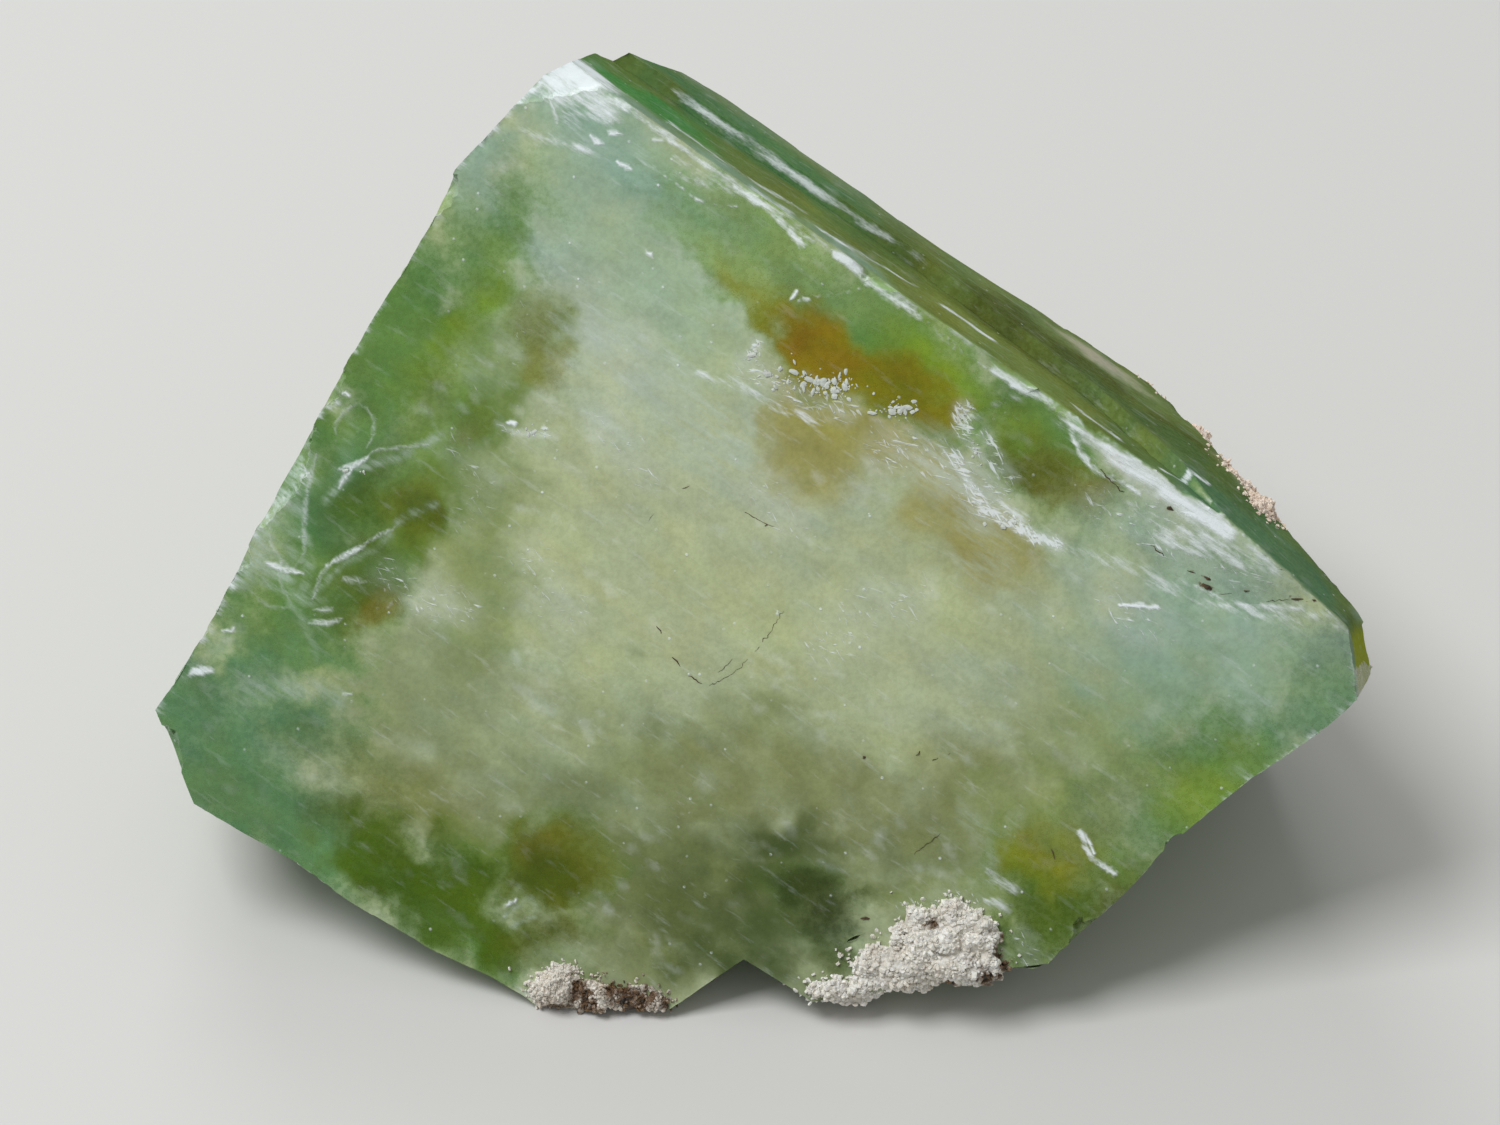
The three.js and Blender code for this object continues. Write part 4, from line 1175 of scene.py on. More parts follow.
def crystal_looks(places, normals, ridges):
    """What the crystal's material reads at each point, by name."""
    face = on_face(places)
    loose = 0.5 * fractal(places, 1.6, 3, 61)
    on_front, on_upper, on_step = zones(places, normals, loose)
    tones = crystal_tones(places, on_front, on_upper, loose)
    shown = (1.0 - ramp(-face[:, 2], 0.5, 1.3)) * (1.0 - on_upper)
    dirt = (1.0 - on_front) * (1.0 - on_upper) * ramp(fractal(places, 3.4, 4, 64), 0.3, 0.9)
    return {
        "deep": tones.deep,
        "cloud": tones.cloud,
        "cover": tones.cover,
        "frost_and_sheen": white_wear_and_sheen(places, on_front, on_upper, on_step, shown, ridges),
        "sugar": marked(face, SUGARED, 0.4) * shown,
        "veil": marked(face, VEILS, 0.35) * shown,
        "glint_and_rim": marked(face, GLINTS_AND_CRACK_RIMS, 0.12, True) * shown,
        "dirt": np.maximum(dirt, marked(face, STAINS, 0.2) * shown),
        "grain": face,
    }


# ---- Pieces ----


def in_scene(name, data):
    """A new object in the scene."""
    result = bpy.data.objects.new(name, data)
    bpy.context.scene.collection.objects.link(result)
    return result


def mesh_piece(name, places, triangles, material):
    """A shown piece made of points in mm and triangles, which rides on the root body."""
    mesh = bpy.data.meshes.new(name)
    mesh.from_pydata((places * MM).tolist(), [], triangles.tolist())
    mesh.validate()
    mesh.materials.append(material)
    piece = in_scene(name, mesh)
    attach(piece, "root")
    return piece


def store(mesh, name, values):
    """Numbers or triples kept on a mesh's points, for its material to read."""
    kind, field = ("FLOAT", "value") if values.ndim == 1 else ("FLOAT_VECTOR", "vector")
    layer = mesh.attributes.new(name, kind, "POINT")
    layer.data.foreach_set(field, np.ascontiguousarray(values, dtype=np.float32).ravel())


def boxed(places):
    """The places, kept inside the CAD model's box."""
    low, high = (np.array(corner) / MM for corner in CAD_BOX)
    return np.clip(places, low + BOX_GAP, high - BOX_GAP)


# ---- Materials ----


class Look:
    """A material, with short ways to add nodes to it."""

    def __init__(self, name):
        self.material = bpy.data.materials.new(name)
        self.material.use_nodes = True
        self.tree = self.material.node_tree
        self.surface = self.tree.nodes["Principled BSDF"]
        self.output = self.tree.nodes["Material Output"]

    def link(self, value, socket):
        """Sets a socket to a number or colour, or joins it to another node."""
        if isinstance(value, bpy.types.NodeSocket):
            self.tree.links.new(value, socket)
        elif isinstance(value, tuple) and len(value) == 3 and socket.type == "RGBA":
            socket.default_value = (*value, 1.0)
        else:
            socket.default_value = value

    def put(self, **inputs):
        """Sets or joins the surface's inputs, with _ for the spaces in their names."""
        for name, value in inputs.items():
            self.link(value, self.surface.inputs[name.replace("_", " ")])

    def add(self, kind, inputs=(), **settings):
        """A node with its settings and its inputs, by place or by name."""
        node = self.tree.nodes.new(kind)
        for key, value in settings.items():
            setattr(node, key, value)
        for key, value in dict(inputs).items():
            self.link(value, node.inputs[key])
        return node

    def stored(self, name, output="Fac"):
        """A value kept on the mesh."""
        return self.add("ShaderNodeAttribute", attribute_name=name).outputs[output]

    def math(self, operation, a, b):
        """Arithmetic on two numbers."""
        return self.add("ShaderNodeMath", {0: a, 1: b}, operation=operation).outputs[0]

    def times(self, a, b):
        """Two numbers multiplied."""
        return self.math("MULTIPLY", a, b)

    def plus(self, a, b):
        """Two numbers added."""
        return self.math("ADD", a, b)

    def most(self, first, *others):
        """The greatest of some numbers."""
        for other in others:
            first = self.math("MAXIMUM", first, other)
        return first

    def noise(self, vector, scale, detail=2.0, rough=0.5):
        """Noise from 0 to 1, with scale waves to each of the vector's units."""
        inputs = {"Vector": vector, "Scale": scale, "Detail": detail, "Roughness": rough}
        return self.add("ShaderNodeTexNoise", inputs).outputs["Fac"]

    def between(self, value, start, end, low=0.0, high=1.0):
        """A smooth ramp from low to high as the value goes from start to end."""
        inputs = {"Value": value, 1: start, 2: end, 3: low, 4: high}
        node = self.add("ShaderNodeMapRange", inputs, interpolation_type="SMOOTHSTEP")
        return node.outputs[0]

    def mix(self, share, under, top, blend="MIX"):
        """One colour over another."""
        node = self.add("ShaderNodeMix", data_type="RGBA", blend_type=blend)
        self.link(share, node.inputs[0])
        self.link(under, node.inputs[6])
        self.link(top, node.inputs[7])
        return node.outputs[2]

    def grey(self, value):
        """A number as a grey colour."""
        return self.add("ShaderNodeCombineColor", {0: value, 1: value, 2: value}).outputs[0]

    def scratched(self, vector, turned):
        """Noise from 0 to 1 drawn out into short scratches, which run one way."""
        inputs = {"Vector": vector, "Rotation": (0.0, 0.0, turned), "Scale": (2.4, 0.45, 1.0)}
        drawn = self.add("ShaderNodeMapping", inputs, vector_type="TEXTURE").outputs[0]
        inputs = {"Vector": drawn, "Scale": 3.2, "Detail": 2.0, "Roughness": 0.6, "Distortion": 0.7}
        return self.add("ShaderNodeTexNoise", inputs).outputs["Fac"]

    def dots(self, vector, scale, size, share):
        """Small spots: cells to the mm, each spot's size, and the share of cells with one."""
        cells = self.add("ShaderNodeTexVoronoi", {"Vector": vector, "Scale": scale})
        near = self.between(cells.outputs["Distance"], size, size * 0.45)
        picked = self.add("ShaderNodeSeparateColor", {0: cells.outputs["Color"]}).outputs[0]
        return self.times(near, self.between(picked, 1.0 - share, 1.02 - share))

    def bump(self, height, strength, distance):
        """A bump of so many mm."""
        inputs = {"Height": height, "Strength": strength, "Distance": distance * MM}
        return self.add("ShaderNodeBump", inputs).outputs[0]


APOPHYLLITE_IOR = 1.535
DEEP_TINT = (0.55, 0.85, 0.3)  # what light keeps of each colour inside the crystal
TINT_DENSITY = 30.0  # per metre


def whitened(look, grain, fibres):
    """How white the crystal is at each place: painted glint specks, crushed spots, bruises with
    painted sheen, and painted glints and crack rims.
    """
    scratches = look.most(look.scratched(grain, -0.2), look.scratched(grain, -0.9))
    # Painted glints: small sparse white spots.
    glint_specks = look.dots(grain, 2.3, 0.2, 0.14)
    glint_specks = look.times(glint_specks, look.between(fibres, 0.4, 0.66, 0.05, 0.75))

    sugar = look.stored("sugar")
    crushed = look.plus(look.times(sugar, 0.29), scratches)
    crushed = look.between(crushed, 0.66, 0.86, 0.0, 0.8)
    crushed = look.times(crushed, look.between(sugar, 0.0, 0.3, 0.12, 1.0))
    hazed = look.times(sugar, look.between(fibres, 0.3, 0.7, 0.15, 0.5))

    fibrous = look.between(fibres, 0.3, 0.7, -0.5, 0.35)
    bruise_and_sheen_white = look.plus(look.times(look.stored("frost_and_sheen"), 1.25), fibrous)
    bruise_and_sheen_white = look.between(bruise_and_sheen_white, 0.1, 1.2, 0.0, 0.92)

    # Painted glints, and bright rims of inner cracks.
    glints_and_rims = look.between(scratches, 0.3, 0.66, 0.66, 1.12)
    glints_and_rims = look.between(look.times(look.stored("glint_and_rim"), glints_and_rims), 0.16, 1.0)
    return look.most(glint_specks, hazed, crushed, bruise_and_sheen_white, glints_and_rims)


def apophyllite_look(name, gloss, clear):
    """Green glassy crystal with a white cloud inside, bruises, painted glints and sheen, and a
    little dirt.
    """
    look = Look(name)
    grain = look.stored("grain", "Vector")
    inputs = {"Vector": grain, "Rotation": (0.0, 0.0, -EDGE_SLOPE), "Scale": (2.6, 0.5, 1.0)}
    combed = look.add("ShaderNodeMapping", inputs, vector_type="TEXTURE").outputs[0]
    fibres = look.noise(combed, 1.3, 5.0, 0.66)
    grains = look.noise(grain, 3.4, 3.0, 0.7)

    flakes = look.between(grains, 0.25, 0.75, -0.07, 0.07)
    cover = look.between(look.plus(look.stored("cover"), flakes), 0.0, 1.0)
    colour = look.mix(cover, look.stored("deep", "Color"), look.stored("cloud", "Color"))
    bright = look.between(grains, 0.2, 0.8, 0.91, 1.09)
    colour = look.mix(1.0, colour, look.grey(bright), "MULTIPLY")
    veiled = look.times(look.stored("veil"), look.between(fibres, 0.36, 0.62, 0.1, 1.0))
    colour = look.mix(veiled, colour, VEIL)
    white = whitened(look, grain, fibres)
    # White from bruises and wear, and painted glints and sheen.
    colour = look.mix(look.times(white, 0.94), colour, FROST_AND_GLINT_WHITE)
    soiled = look.between(look.times(look.stored("dirt"), grains), 0.4, 0.6)
    colour = look.mix(look.times(soiled, 0.85), colour, SOIL)

    closed = look.most(white, veiled, cover, soiled)
    look.put(
        Base_Color=colour,
        Transmission_Weight=look.times(look.math("SUBTRACT", 1.0, closed), clear),
        Roughness=look.plus(look.between(grains, 0.2, 0.8, 0.2, 0.36), look.times(white, 0.25)),
        IOR=APOPHYLLITE_IOR,
        Specular_IOR_Level=gloss,
    )
    relief = look.plus(look.times(grains, 0.4), look.times(white, look.plus(fibres, 0.2)))
    look.put(Normal=look.bump(relief, 0.6, 0.08))

    inputs = {"Color": DEEP_TINT, "Density": TINT_DENSITY}
    tint = look.add("ShaderNodeVolumeAbsorption", inputs)
    look.link(tint.outputs[0], look.output.inputs["Volume"])
    return look.material


def stilbite_look(name, pale, shade, dirty):
    """Pearly, granular stilbite, with white flecks of painted pearly sheen, darker between its
    crystals and where it is stained.
    """
    look = Look(name)
    grain = look.stored("grain", "Vector")
    soft = look.noise(grain, 1.1, 4.0, 0.6)
    fine = look.noise(grain, 6.0, 3.0, 0.6)
    colour = look.mix(look.between(soft, 0.35, 0.7), pale, shade)
    # White flecks of painted pearly sheen.
    colour = look.mix(look.between(fine, 0.5, 0.8, 0.0, 0.35), colour, PEARL_SHEEN)
    darkening = look.plus(look.stored("dirt"), look.noise(grain, 1.6, 6.0, 0.7))
    colour = look.mix(look.between(darkening, 1.02 - dirty, 1.3 - dirty), colour, GRIME)
    colour = look.mix(look.between(darkening, 1.3 - dirty, 1.45 - dirty), colour, SOOT)
    look.put(
        Base_Color=colour,
        Roughness=look.between(fine, 0.2, 0.8, 0.38, 0.62),
        Subsurface_Weight=0.35,
        Subsurface_Radius=(0.0006, 0.0005, 0.0004),
        Subsurface_Scale=1.0,
        Normal=look.bump(fine, 0.5, 0.04),
    )
    return look.material


SPOT_SCALE = 2500.0  # spots to the metre in the plain materials


def plain_look(name, colour, rough, vary):
    """A dull material whose colour varies a little from place to place."""
    look = Look(name)
    spots = look.noise(look.add("ShaderNodeTexCoord").outputs["Object"], SPOT_SCALE, 3.0)
    shade = look.grey(look.between(spots, 0.25, 0.75, 1.0 - vary, 1.0 + vary))
    colour = look.mix(1.0, colour, shade, "MULTIPLY")
    look.put(Base_Color=colour, Roughness=rough, Normal=look.bump(spots, 0.4, 0.02))
    return look.material


# ---- The crystal ----


# How much the crystal shines, and what share of the light goes into it where it is clear.
FACE_GLOSS = 0.14
FACE_CLEAR = 0.42
WALL_GLOSS = 0.0
WALL_CLEAR = 0.05

SHADE_TURN = math.radians(38)  # shading is smooth over edges that turn by less than this
RIDGE_TURN = math.radians(33)  # edges that turn by more than this are whitened: partly wear, partly painted highlight


def make_crystal():
    """The green crystal, with its fine relief and its colours."""
    places, triangles = crystal_shape()
    places = boxed(places)
    look = apophyllite_look("apophyllite_green", FACE_GLOSS, FACE_CLEAR)
    crystal = mesh_piece("crystal", places, triangles, look)
    mesh = crystal.data
    mesh.shade_smooth()
    mesh.set_sharp_from_angle(angle=SHADE_TURN)
    mesh.materials.append(apophyllite_look("apophyllite_wall", WALL_GLOSS, WALL_CLEAR))

    edges, one, other = edges_of(triangles)
    facing = facing_of(places, triangles)
    sharp = np.einsum("ij,ij->i", facing[one], facing[other]) < math.cos(RIDGE_TURN)
    ridges = distance_to(places, places[np.unique(edges[sharp])])
    looks = crystal_looks(places, normals_of(places, triangles), ridges)
    for name, values in looks.items():
        store(mesh, name, values)

    middles = places[triangles].mean(axis=1)
    off_wall = on_wall(middles)[:, 2]
    on_upper = (off_wall > -0.35) | ((facing @ WALL_N > 0.3) & (off_wall > -2.0))
    on_upper &= on_face(middles)[:, 2] < -0.05
    mesh.polygons.foreach_set("material_index", on_upper.astype(np.int32))
    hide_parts("apophyllite_crystal")
    return places


# ---- The stilbite crusts ----

# One small pointed crystal, 1 wide, 1 thick and 1 long: its points and its triangles.
LATH = np.array([
    (-0.5, -0.5, 0.0), (0.5, -0.5, 0.0), (0.5, 0.5, 0.0), (-0.5, 0.5, 0.0),
    (-0.42, -0.42, 0.78), (0.42, -0.42, 0.78), (0.42, 0.42, 0.78), (-0.42, 0.42, 0.78),
    (0.0, -0.3, 1.0), (0.0, 0.3, 1.0),
])
LATH_SIDES = np.array([
    (0, 1, 5), (0, 5, 4), (1, 2, 6), (1, 6, 5), (2, 3, 7), (2, 7, 6), (3, 0, 4), (3, 4, 7),
    (4, 5, 8), (6, 7, 9), (5, 6, 9), (5, 9, 8), (7, 4, 8), (7, 8, 9), (3, 2, 1), (3, 1, 0),
])

KNOBS = 45  # the seed of the knobs on the crusts, which are darker in the creases between them
KNOB_SIZE = 1.15  # how far apart the knobs are, in mm
LOBE_MARGIN = 0.6  # between a crust's lobes and the edge of its grid, in mm
GROUND_DEPTH = 4.0  # how far behind its plane a crust still follows the crystal, in mm
NEIGHBOURS = 6  # how many of the crystal's points a crust's height is taken from
BODY_DEPTH = 1.0  # the most that a crust's body is thick, in mm
BODY_ROOT = 0.15  # and the least that it reaches into the crystal


def in_plane(places, plane):
    """Places in mm as distances across, up and out of a crust's plane."""
    middle, across, up, out = plane
    return (places - middle) @ np.stack([across, up, out], axis=1)


def lobed(flat, lobes, seed):
    """Height of a crust at places in its plane, below 0 outside it."""
    ragged = 0.4 * fractal(with_zero(flat), 1.4, 4, seed)
    height = np.full(len(flat), -1.0)
    for centre, half, top in lobes:
        reach = np.hypot(*((flat - centre) / half).T) + ragged
        height = np.maximum(height, top * (1.0 - reach ** 2))
    return height


def grid_over(lobes, spacing, seed):
    """Slightly uneven rows of places over a crust's lobes, and how many are in a row."""
    low = np.min([np.subtract(c, h) for c, h, _ in lobes], axis=0) - LOBE_MARGIN
    high = np.max([np.add(c, h) for c, h, _ in lobes], axis=0) + LOBE_MARGIN
    columns = np.arange(low[0], high[0], spacing)
    rows = np.arange(low[1], high[1], spacing)
    flat = np.stack(np.meshgrid(columns, rows), axis=-1).reshape(-1, 2)
    shift = np.random.default_rng(seed).uniform(-CRUST_JITTER, CRUST_JITTER, flat.shape)
    flat += shift * spacing
    return flat, len(columns)


def slab_sides(kept, wide):
    """Triangles of a slab's top, underside and rim, on two grids, where the places are kept.

    The underside's places come after the top's, in the same order.
    """
    count = len(kept)
    cells = [i for i in range(count - wide - 1) if (i + 1) % wide
             and kept[[i, i + 1, i + wide, i + wide + 1]].all()]
    triangles = []
    rims = {}
    for i in cells:
        ring = (i, i + 1, i + wide + 1, i + wide)
        triangles += [(ring[0], ring[1], ring[2]), (ring[0], ring[2], ring[3])]
        for a, b in zip(ring, ring[1:] + ring[:1]):
            rims[a, b] = (b, a) not in rims and (a, b) not in rims
            if not rims[a, b]:
                rims[b, a] = False
    triangles += [(a + count, c + count, b + count) for a, b, c in list(triangles)]
    for (a, b), open_side in rims.items():
        if open_side:
            triangles += [(b, a, a + count), (b, a + count, b + count)]
    return triangles


def mat(plane, lobes, spacing, overhang, seed):
    """A crust's ragged body: points in mm, triangles, and which points are on its top."""
    ground = in_plane(crystal_places, plane)
    ground = ground[ground[:, 2] > -GROUND_DEPTH]
    flat, wide = grid_over(lobes, spacing, seed)
    at = with_zero(flat)
    height = lobed(flat, lobes, seed)
    tree = tree_of(with_zero(ground[:, :2]))
    found = [tree.find_n(place, NEIGHBOURS) for place in at]
    under = np.array([np.mean([ground[index][2] for _, index, _ in near]) for near in found])
    kept = (height > 0.0) & (np.array([near[0][2] for near in found]) < overhang)

    rise = 0.24 * fractal(at, 1.0, 3, seed + 1) + 0.5 * np.abs(waves(at, KNOB_SIZE, KNOBS)) - 0.12
    bed = np.maximum(np.maximum(under, -0.5), under * 0.4)
    top = bed + height + rise * ramp(height, 0.0, 0.3)
    low = np.maximum(under - BODY_ROOT, top - BODY_DEPTH)
    places = np.concatenate([
        np.concatenate([flat, level[:, None]], axis=1) for level in (top, low)
    ])
    used, renamed = np.unique(slab_sides(kept, wide), return_inverse=True)
    middle, across, up, out = plane
    body = middle + places[used] @ np.stack([across, up, out], axis=1).T
    return body, renamed.reshape(-1, 3), used < len(flat)


def rooted(places, triangles, tops, count, roll):
    """Places spread over a crust's top, and the way its surface faces there."""
    upper = triangles[tops[triangles].all(axis=1)]
    across = across_of(places, upper)
    area = np.linalg.norm(across, axis=1)
    picks = roll.choice(len(upper), count, p=area / area.sum())
    mixes = roll.dirichlet((1.0, 1.0, 1.0), count)
    spread = sum(mixes[:, i, None] * places[upper[picks, i]] for i in range(3))
    return spread, units(across[picks])


def strayed(plane, lobes, count, seed, roll):
    """Places on the crystal just outside a crust, where loose crystals lie, and their facing."""
    near = in_plane(crystal_places, plane)
    height = lobed(near[:, :2], lobes, seed)
    free = (height < 0.1) & (near[:, 2] > -0.6) & (near[:, 2] < 1.0)
    chance = np.where(free & (height >= -0.9), np.exp(height * 7.0), 0.0)
    picks = roll.choice(len(near), count, p=chance / chance.sum())
    spread = crystal_places[picks] + roll.normal(0.0, 0.05, (count, 3))
    return spread, np.tile(plane[3], (count, 1))


def laths(roots, facing, sizes, lean, roll):
    """Many small pointed crystals standing at their roots: points in mm and triangles."""
    grown = []
    for root, way in zip(roots, facing):
        axis = Vector(way + roll.normal(0, lean, 3)).normalized()
        turned = Matrix.Rotation(roll.uniform(0, 6.3), 3, "Z")
        spin = np.array(axis.to_track_quat("Z", "Y").to_matrix() @ turned)
        length = roll.uniform(*sizes)
        wide, thick = roll.uniform(0.5, 0.9), roll.uniform(0.3, 0.55)
        form = length * np.array([wide, thick, 1.0])
        grown.append((LATH * form) @ spin.T + root - way * length * 0.5)
    steps = np.arange(len(roots))[:, None, None] * len(LATH)
    return np.concatenate(grown), (LATH_SIDES[None] + steps).reshape(-1, 3)


def creased(places, plane):
    """How near each place on a crust is to a crease between its knobs, from 0 to 1."""
    at = with_zero(in_plane(places, plane)[:, :2])
    return 1.0 - ramp(np.abs(waves(at, KNOB_SIZE, KNOBS)), 0.02, 0.2)


def soiled(places, soils):
    """How stained each place on a crust is."""
    at = on_face(places)[:, :2]
    result = np.zeros(len(at))
    for middle, reach, strength in soils:
        away = np.linalg.norm(at - middle, axis=1) / reach
        result = np.maximum(result, strength * (1.0 - ramp(away, 0.2, 1.3)))
    return result * (1.0 + 0.7 * fractal(places, 0.8, 2, 47))


STRAY_SIZE = 0.6  # how big the loose crystals are, beside those of the crust
BODY_DARKENING = 0.1  # how much darker a crust's body is
LATH_DARKENING = 0.02  # and the crystals on it


def make_crust(node, beds, counts, sizes, lean, look, seed, soils=()):
    """A stilbite crust: ragged bodies grown over the crystal, covered in small crystals.

    Each bed is a plane, its lobes, and how far its body may hang over the crystal's edge.
    The counts are of the crystals that stand on each body and of those that lie beside it.
    """
    roll = np.random.default_rng(seed)
    small = [size * STRAY_SIZE for size in sizes]
    places, triangles, dirt = [], [], []
    for plane, lobes, overhang in beds:
        body, sides, tops = mat(plane, lobes, CRUST_SPACING, overhang, seed)
        roots, facing = rooted(body, sides, tops, counts[0], roll)
        loose, way = strayed(plane, lobes, counts[1], seed, roll)
        grown = laths(roots, facing, sizes, lean, roll)
        strays = laths(loose, way, small, lean, roll)
        parts = (((body, sides), BODY_DARKENING), (grown, LATH_DARKENING), (strays, LATH_DARKENING))
        for (found, faces), darkening in parts:
            triangles.append(faces + sum(len(part) for part in places))
            places.append(found)
            # Darker in the creases between the knobs, besides the crust's own stains.
            dirt.append(darkening + 0.2 * creased(found, plane) + soiled(found, soils))
    places, triangles = np.concatenate(places), np.concatenate(triangles)
    crust = mesh_piece(node + "_crystals", boxed(places), triangles, look)
    store(crust.data, "grain", places)
    store(crust.data, "dirt", np.concatenate(dirt))
    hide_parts(node)


# ---- Crumbs, lint and dirt ----


def rest_height(tree, right, up):
    """How far out of the front face the crystal's surface lies at a place."""
    place = tree.find(from_face(right, up))[0]
    return float(on_face(np.array([place]))[0, 2])


def ball():
    """A round ball of radius 1: points and triangles."""
    shape = bmesh.new()
    bmesh.ops.create_icosphere(shape, subdivisions=1, radius=1.0)
    shape.verts.index_update()
    places = np.array([v.co for v in shape.verts])
    triangles = np.array([[v.index for v in face.verts] for face in shape.faces])
    shape.free()
    return places, triangles


def make_crumbs(tree, look):
    """White grains that lie on the front face."""
    roll = np.random.default_rng(CRUMBS_SEED)
    form, sides = ball()
    places, triangles = [], []
    basis = np.stack([FACE_U, FACE_V, FACE_N])
    for centre, half, count in CRUMB_BEDS:
        for _ in range(count):
            right, up = np.array(centre) + roll.normal(0, 0.5, 2) * half
            size = 0.03 + 0.13 * roll.random() ** 2.5
            stretch = roll.uniform((0.8, 0.5, 0.25), (1.9, 1.2, 0.5))
            spin = np.array(Matrix.Rotation(roll.uniform(0, math.pi), 3, "Z"))
            grain = (form * roll.uniform(0.7, 1.15, (len(form), 1)) * stretch * size) @ spin
            grain[:, 2] += rest_height(tree, right, up) + size * stretch[2] * 0.4
            triangles.append(sides + len(places) * len(form))
            places.append(grain @ basis + from_face(right, up))
    mesh_piece("crumbs", np.concatenate(places), np.concatenate(triangles), look)


def fibre(line, radius, shows, tree, roll):
    """One broken thread along a line on the face: points in mm and triangles."""
    line = np.array(line)
    runs = np.linalg.norm(np.diff(line, axis=0), axis=1)
    marks = np.concatenate([[0], np.cumsum(runs)])
    count = max(3, int(marks[-1] / FIBRE_SPACING))
    along = np.linspace(0, marks[-1], count)
    right, up = (np.interp(along, marks, line[:, i]) for i in range(2))
    places = []
    for i in range(count):
        swell = radius * (0.55 + 0.75 * roll.random()) * (0.35 if i in (0, count - 1) else 1.0)
        sway = roll.normal(0, 0.028, 2)
        lift = rest_height(tree, right[i], up[i]) + swell * 0.5
        for k in range(FIBRE_SIDES):
            angle = 2 * math.pi * k / FIBRE_SIDES
            nudge = swell * math.cos(angle) * roll.uniform(0.7, 1.3)
            out = lift + swell * math.sin(angle)
            places.append(from_face(right[i] + sway[0] + nudge, up[i] + sway[1] + nudge, out))
    triangles = []
    start = 0
    while start < count - 1:
        end = min(start + 1 + int(roll.integers(1, 5)), count - 1)
        if roll.random() < shows:
            triangles += tube_sides(start, end, FIBRE_SIDES)
        start = end
    return places, triangles


def tube_sides(start, end, sides):
    """Triangles of a closed tube between two of its rings."""
    triangles = []
    for ring in range(start, end):
        for k in range(sides):
            a, b = ring * sides + k, ring * sides + (k + 1) % sides
            triangles += [[a, b, b + sides], [a, b + sides, a + sides]]
    for k in range(1, sides - 1):
        triangles += [[start * sides, start * sides + k + 1, start * sides + k]]
        triangles += [[end * sides, end * sides + k, end * sides + k + 1]]
    return triangles


def make_dirt(tree, look):
    """Lint on the front face and dirt in its cracks."""
    roll = np.random.default_rng(DIRT_SEED)
    places, triangles = [], []
    for line, radius, shows in FIBRES:
        points, sides = fibre(line, radius, shows, tree, roll)
        triangles += [[i + len(places) for i in side] for side in sides]
        places += points
    used, renamed = np.unique(triangles, return_inverse=True)
    mesh_piece("dirt", np.array(places)[used], renamed.reshape(-1, 3), look)


# ---- The stage ----


def make_floor():
    """A plain pale floor."""
    mesh = bpy.data.meshes.new("floor")
    half = 0.7
    corners = [(-half, -half, 0), (half, -half, 0), (half, half, 0), (-half, half, 0)]
    mesh.from_pydata(corners, [], [(0, 1, 2, 3)])
    floor = in_scene("floor", mesh)
    look = Look("floor_pale")
    look.put(Base_Color=(0.56, 0.56, 0.55), Roughness=0.9, Specular_IOR_Level=0.1)
    mesh.materials.append(look.material)


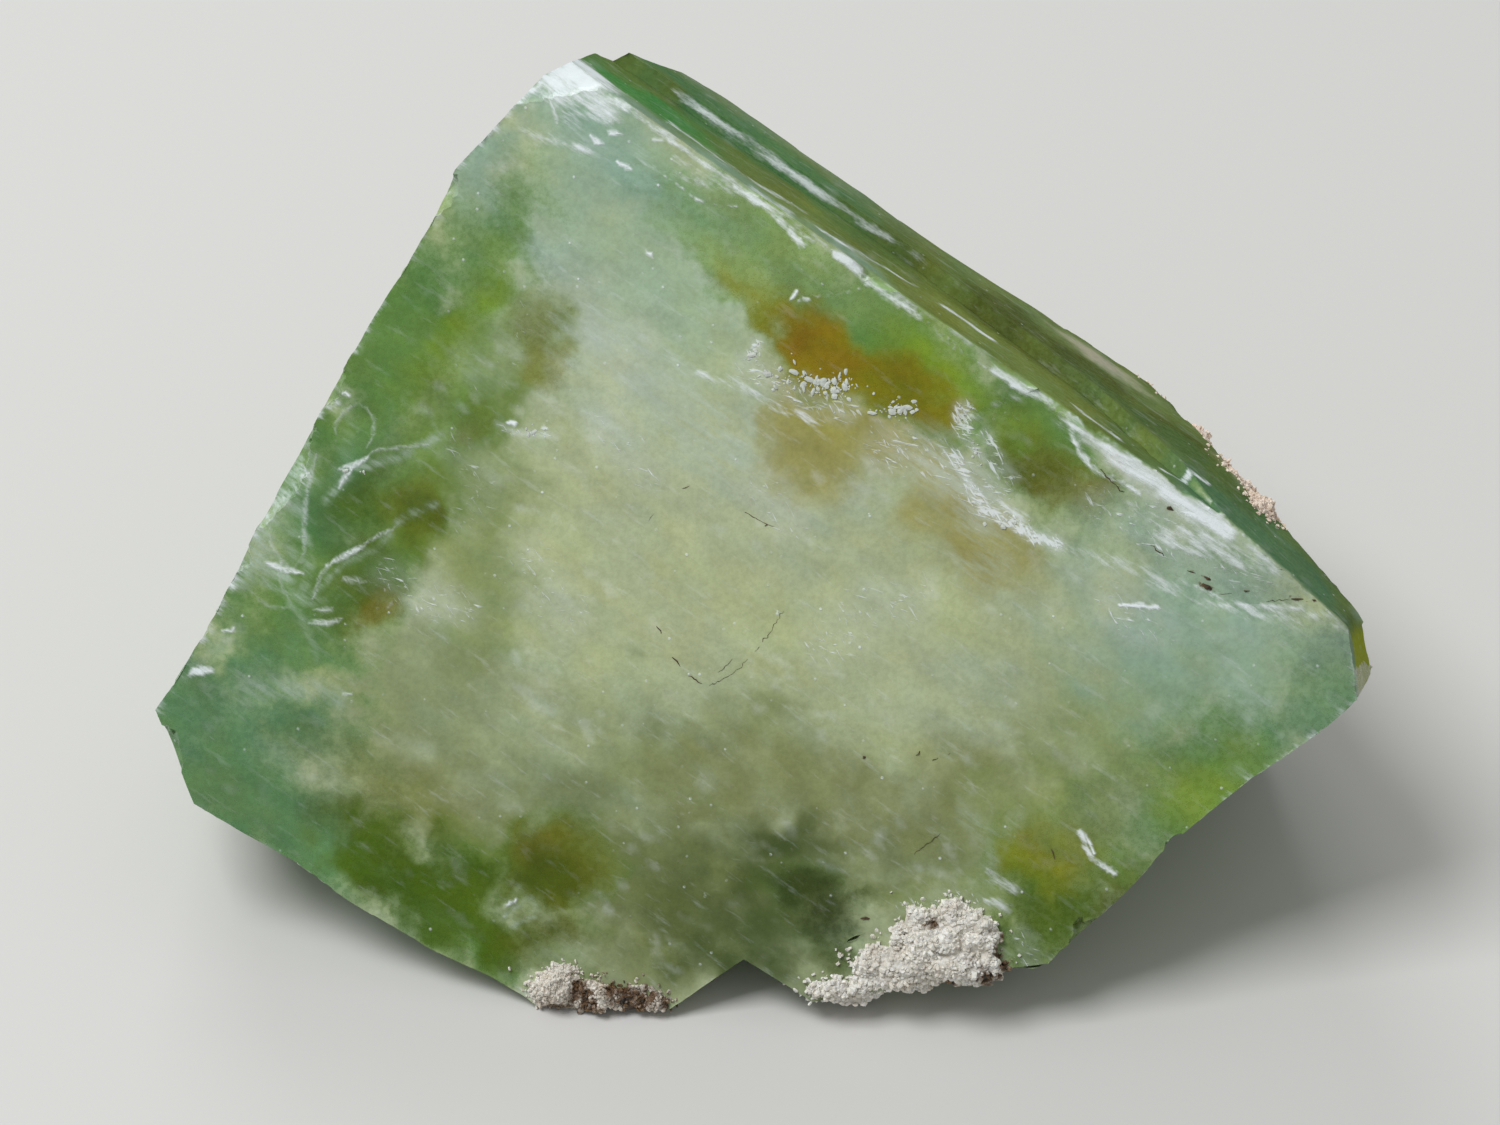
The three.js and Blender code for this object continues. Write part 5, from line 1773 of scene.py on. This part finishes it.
def make_light():
    """Soft studio light: all round, from a key lamp and from a lamp behind."""
    world = bpy.data.worlds.new("studio")
    world.use_nodes = True
    background = world.node_tree.nodes["Background"]
    background.inputs["Color"].default_value = (1.0, 1.0, 0.98, 1.0)
    background.inputs["Strength"].default_value = 0.42
    bpy.context.scene.world = world
    middle = Vector((0, 0, 0.012))
    # Each lamp's name, width in metres, power in watts, and place.
    for name, size, energy, at in (
        ("key", 0.22, 1.7, Vector((-0.2, -0.06, 0.42))),
        ("back", 0.2, 0.6, Vector((-0.1, 0.38, 0.3))),
    ):
        data = bpy.data.lights.new(name, "AREA")
        data.size = size
        data.energy = energy
        lamp = in_scene(name, data)
        lamp.location = at
        lamp.rotation_euler = (middle - at).to_track_quat("-Z", "Y").to_euler()
    bpy.context.scene.view_settings.view_transform = "Standard"


def make_camera():
    """The camera at the photo's angle, looking at the front face's origin."""
    down = math.radians(42.0)
    reach = 0.26
    back = Vector((0.0, -math.cos(down), math.sin(down)))
    data = bpy.data.cameras.new("camera")
    data.sensor_width = 36.0
    data.lens = 152.2
    camera = in_scene("camera", data)
    camera.location = Vector(FACE_ORIGIN * MM) + back * reach
    camera.rotation_euler = (-back).to_track_quat("-Z", "Y").to_euler()
    bpy.context.scene.camera = camera


# ---- The whole ----

crystal_places = make_crystal()
surface = tree_of(crystal_places)

white = stilbite_look("stilbite_white", WHITE_PALE, WHITE_SHADE, dirty=0.08)
brown = stilbite_look("stilbite_soiled", BROWN_PALE, BROWN_SHADE, dirty=0.08)
peach = stilbite_look("stilbite_peach", PEACH_PALE, PEACH_SHADE, dirty=-0.05)
front_plane = (FACE_ORIGIN, FACE_U, FACE_V, FACE_N)
wall_plane = (WALL_START, -WALL_RUN, FACE_N, WALL_N)
back_plane = (BACK_CRUST, np.cross(UP, BACK_N), UP, BACK_N)
right_beds = [(front_plane, FRONT_RIGHT_LOBES, OVERHANG)]
left_beds = [(front_plane, FRONT_LEFT_LOBES, OVERHANG)]
back_beds = [(back_plane, BACK_LOBES, BACK_OVERHANG), (wall_plane, RIM_LOBES, OVERHANG)]
make_crust(
    "stilbite_front_right", right_beds, counts=(1300, 170), sizes=(0.16, 0.44), lean=0.7,
    look=white, seed=RIGHT_SEED, soils=RIGHT_SOILS,
)
make_crust(
    "stilbite_front_left", left_beds, counts=(620, 140), sizes=(0.14, 0.36), lean=0.7,
    look=brown, seed=LEFT_SEED, soils=LEFT_SOILS,
)
make_crust(
    "stilbite_back", back_beds, counts=(2400, 160), sizes=(0.16, 0.46), lean=0.6,
    look=peach, seed=BACK_SEED,
)
make_crumbs(surface, plain_look("crumb_white", CRUMB, rough=0.6, vary=0.12))
make_dirt(surface, plain_look("dirt_brown", LINT, rough=0.85, vary=0.3))
make_floor()
make_light()
make_camera()
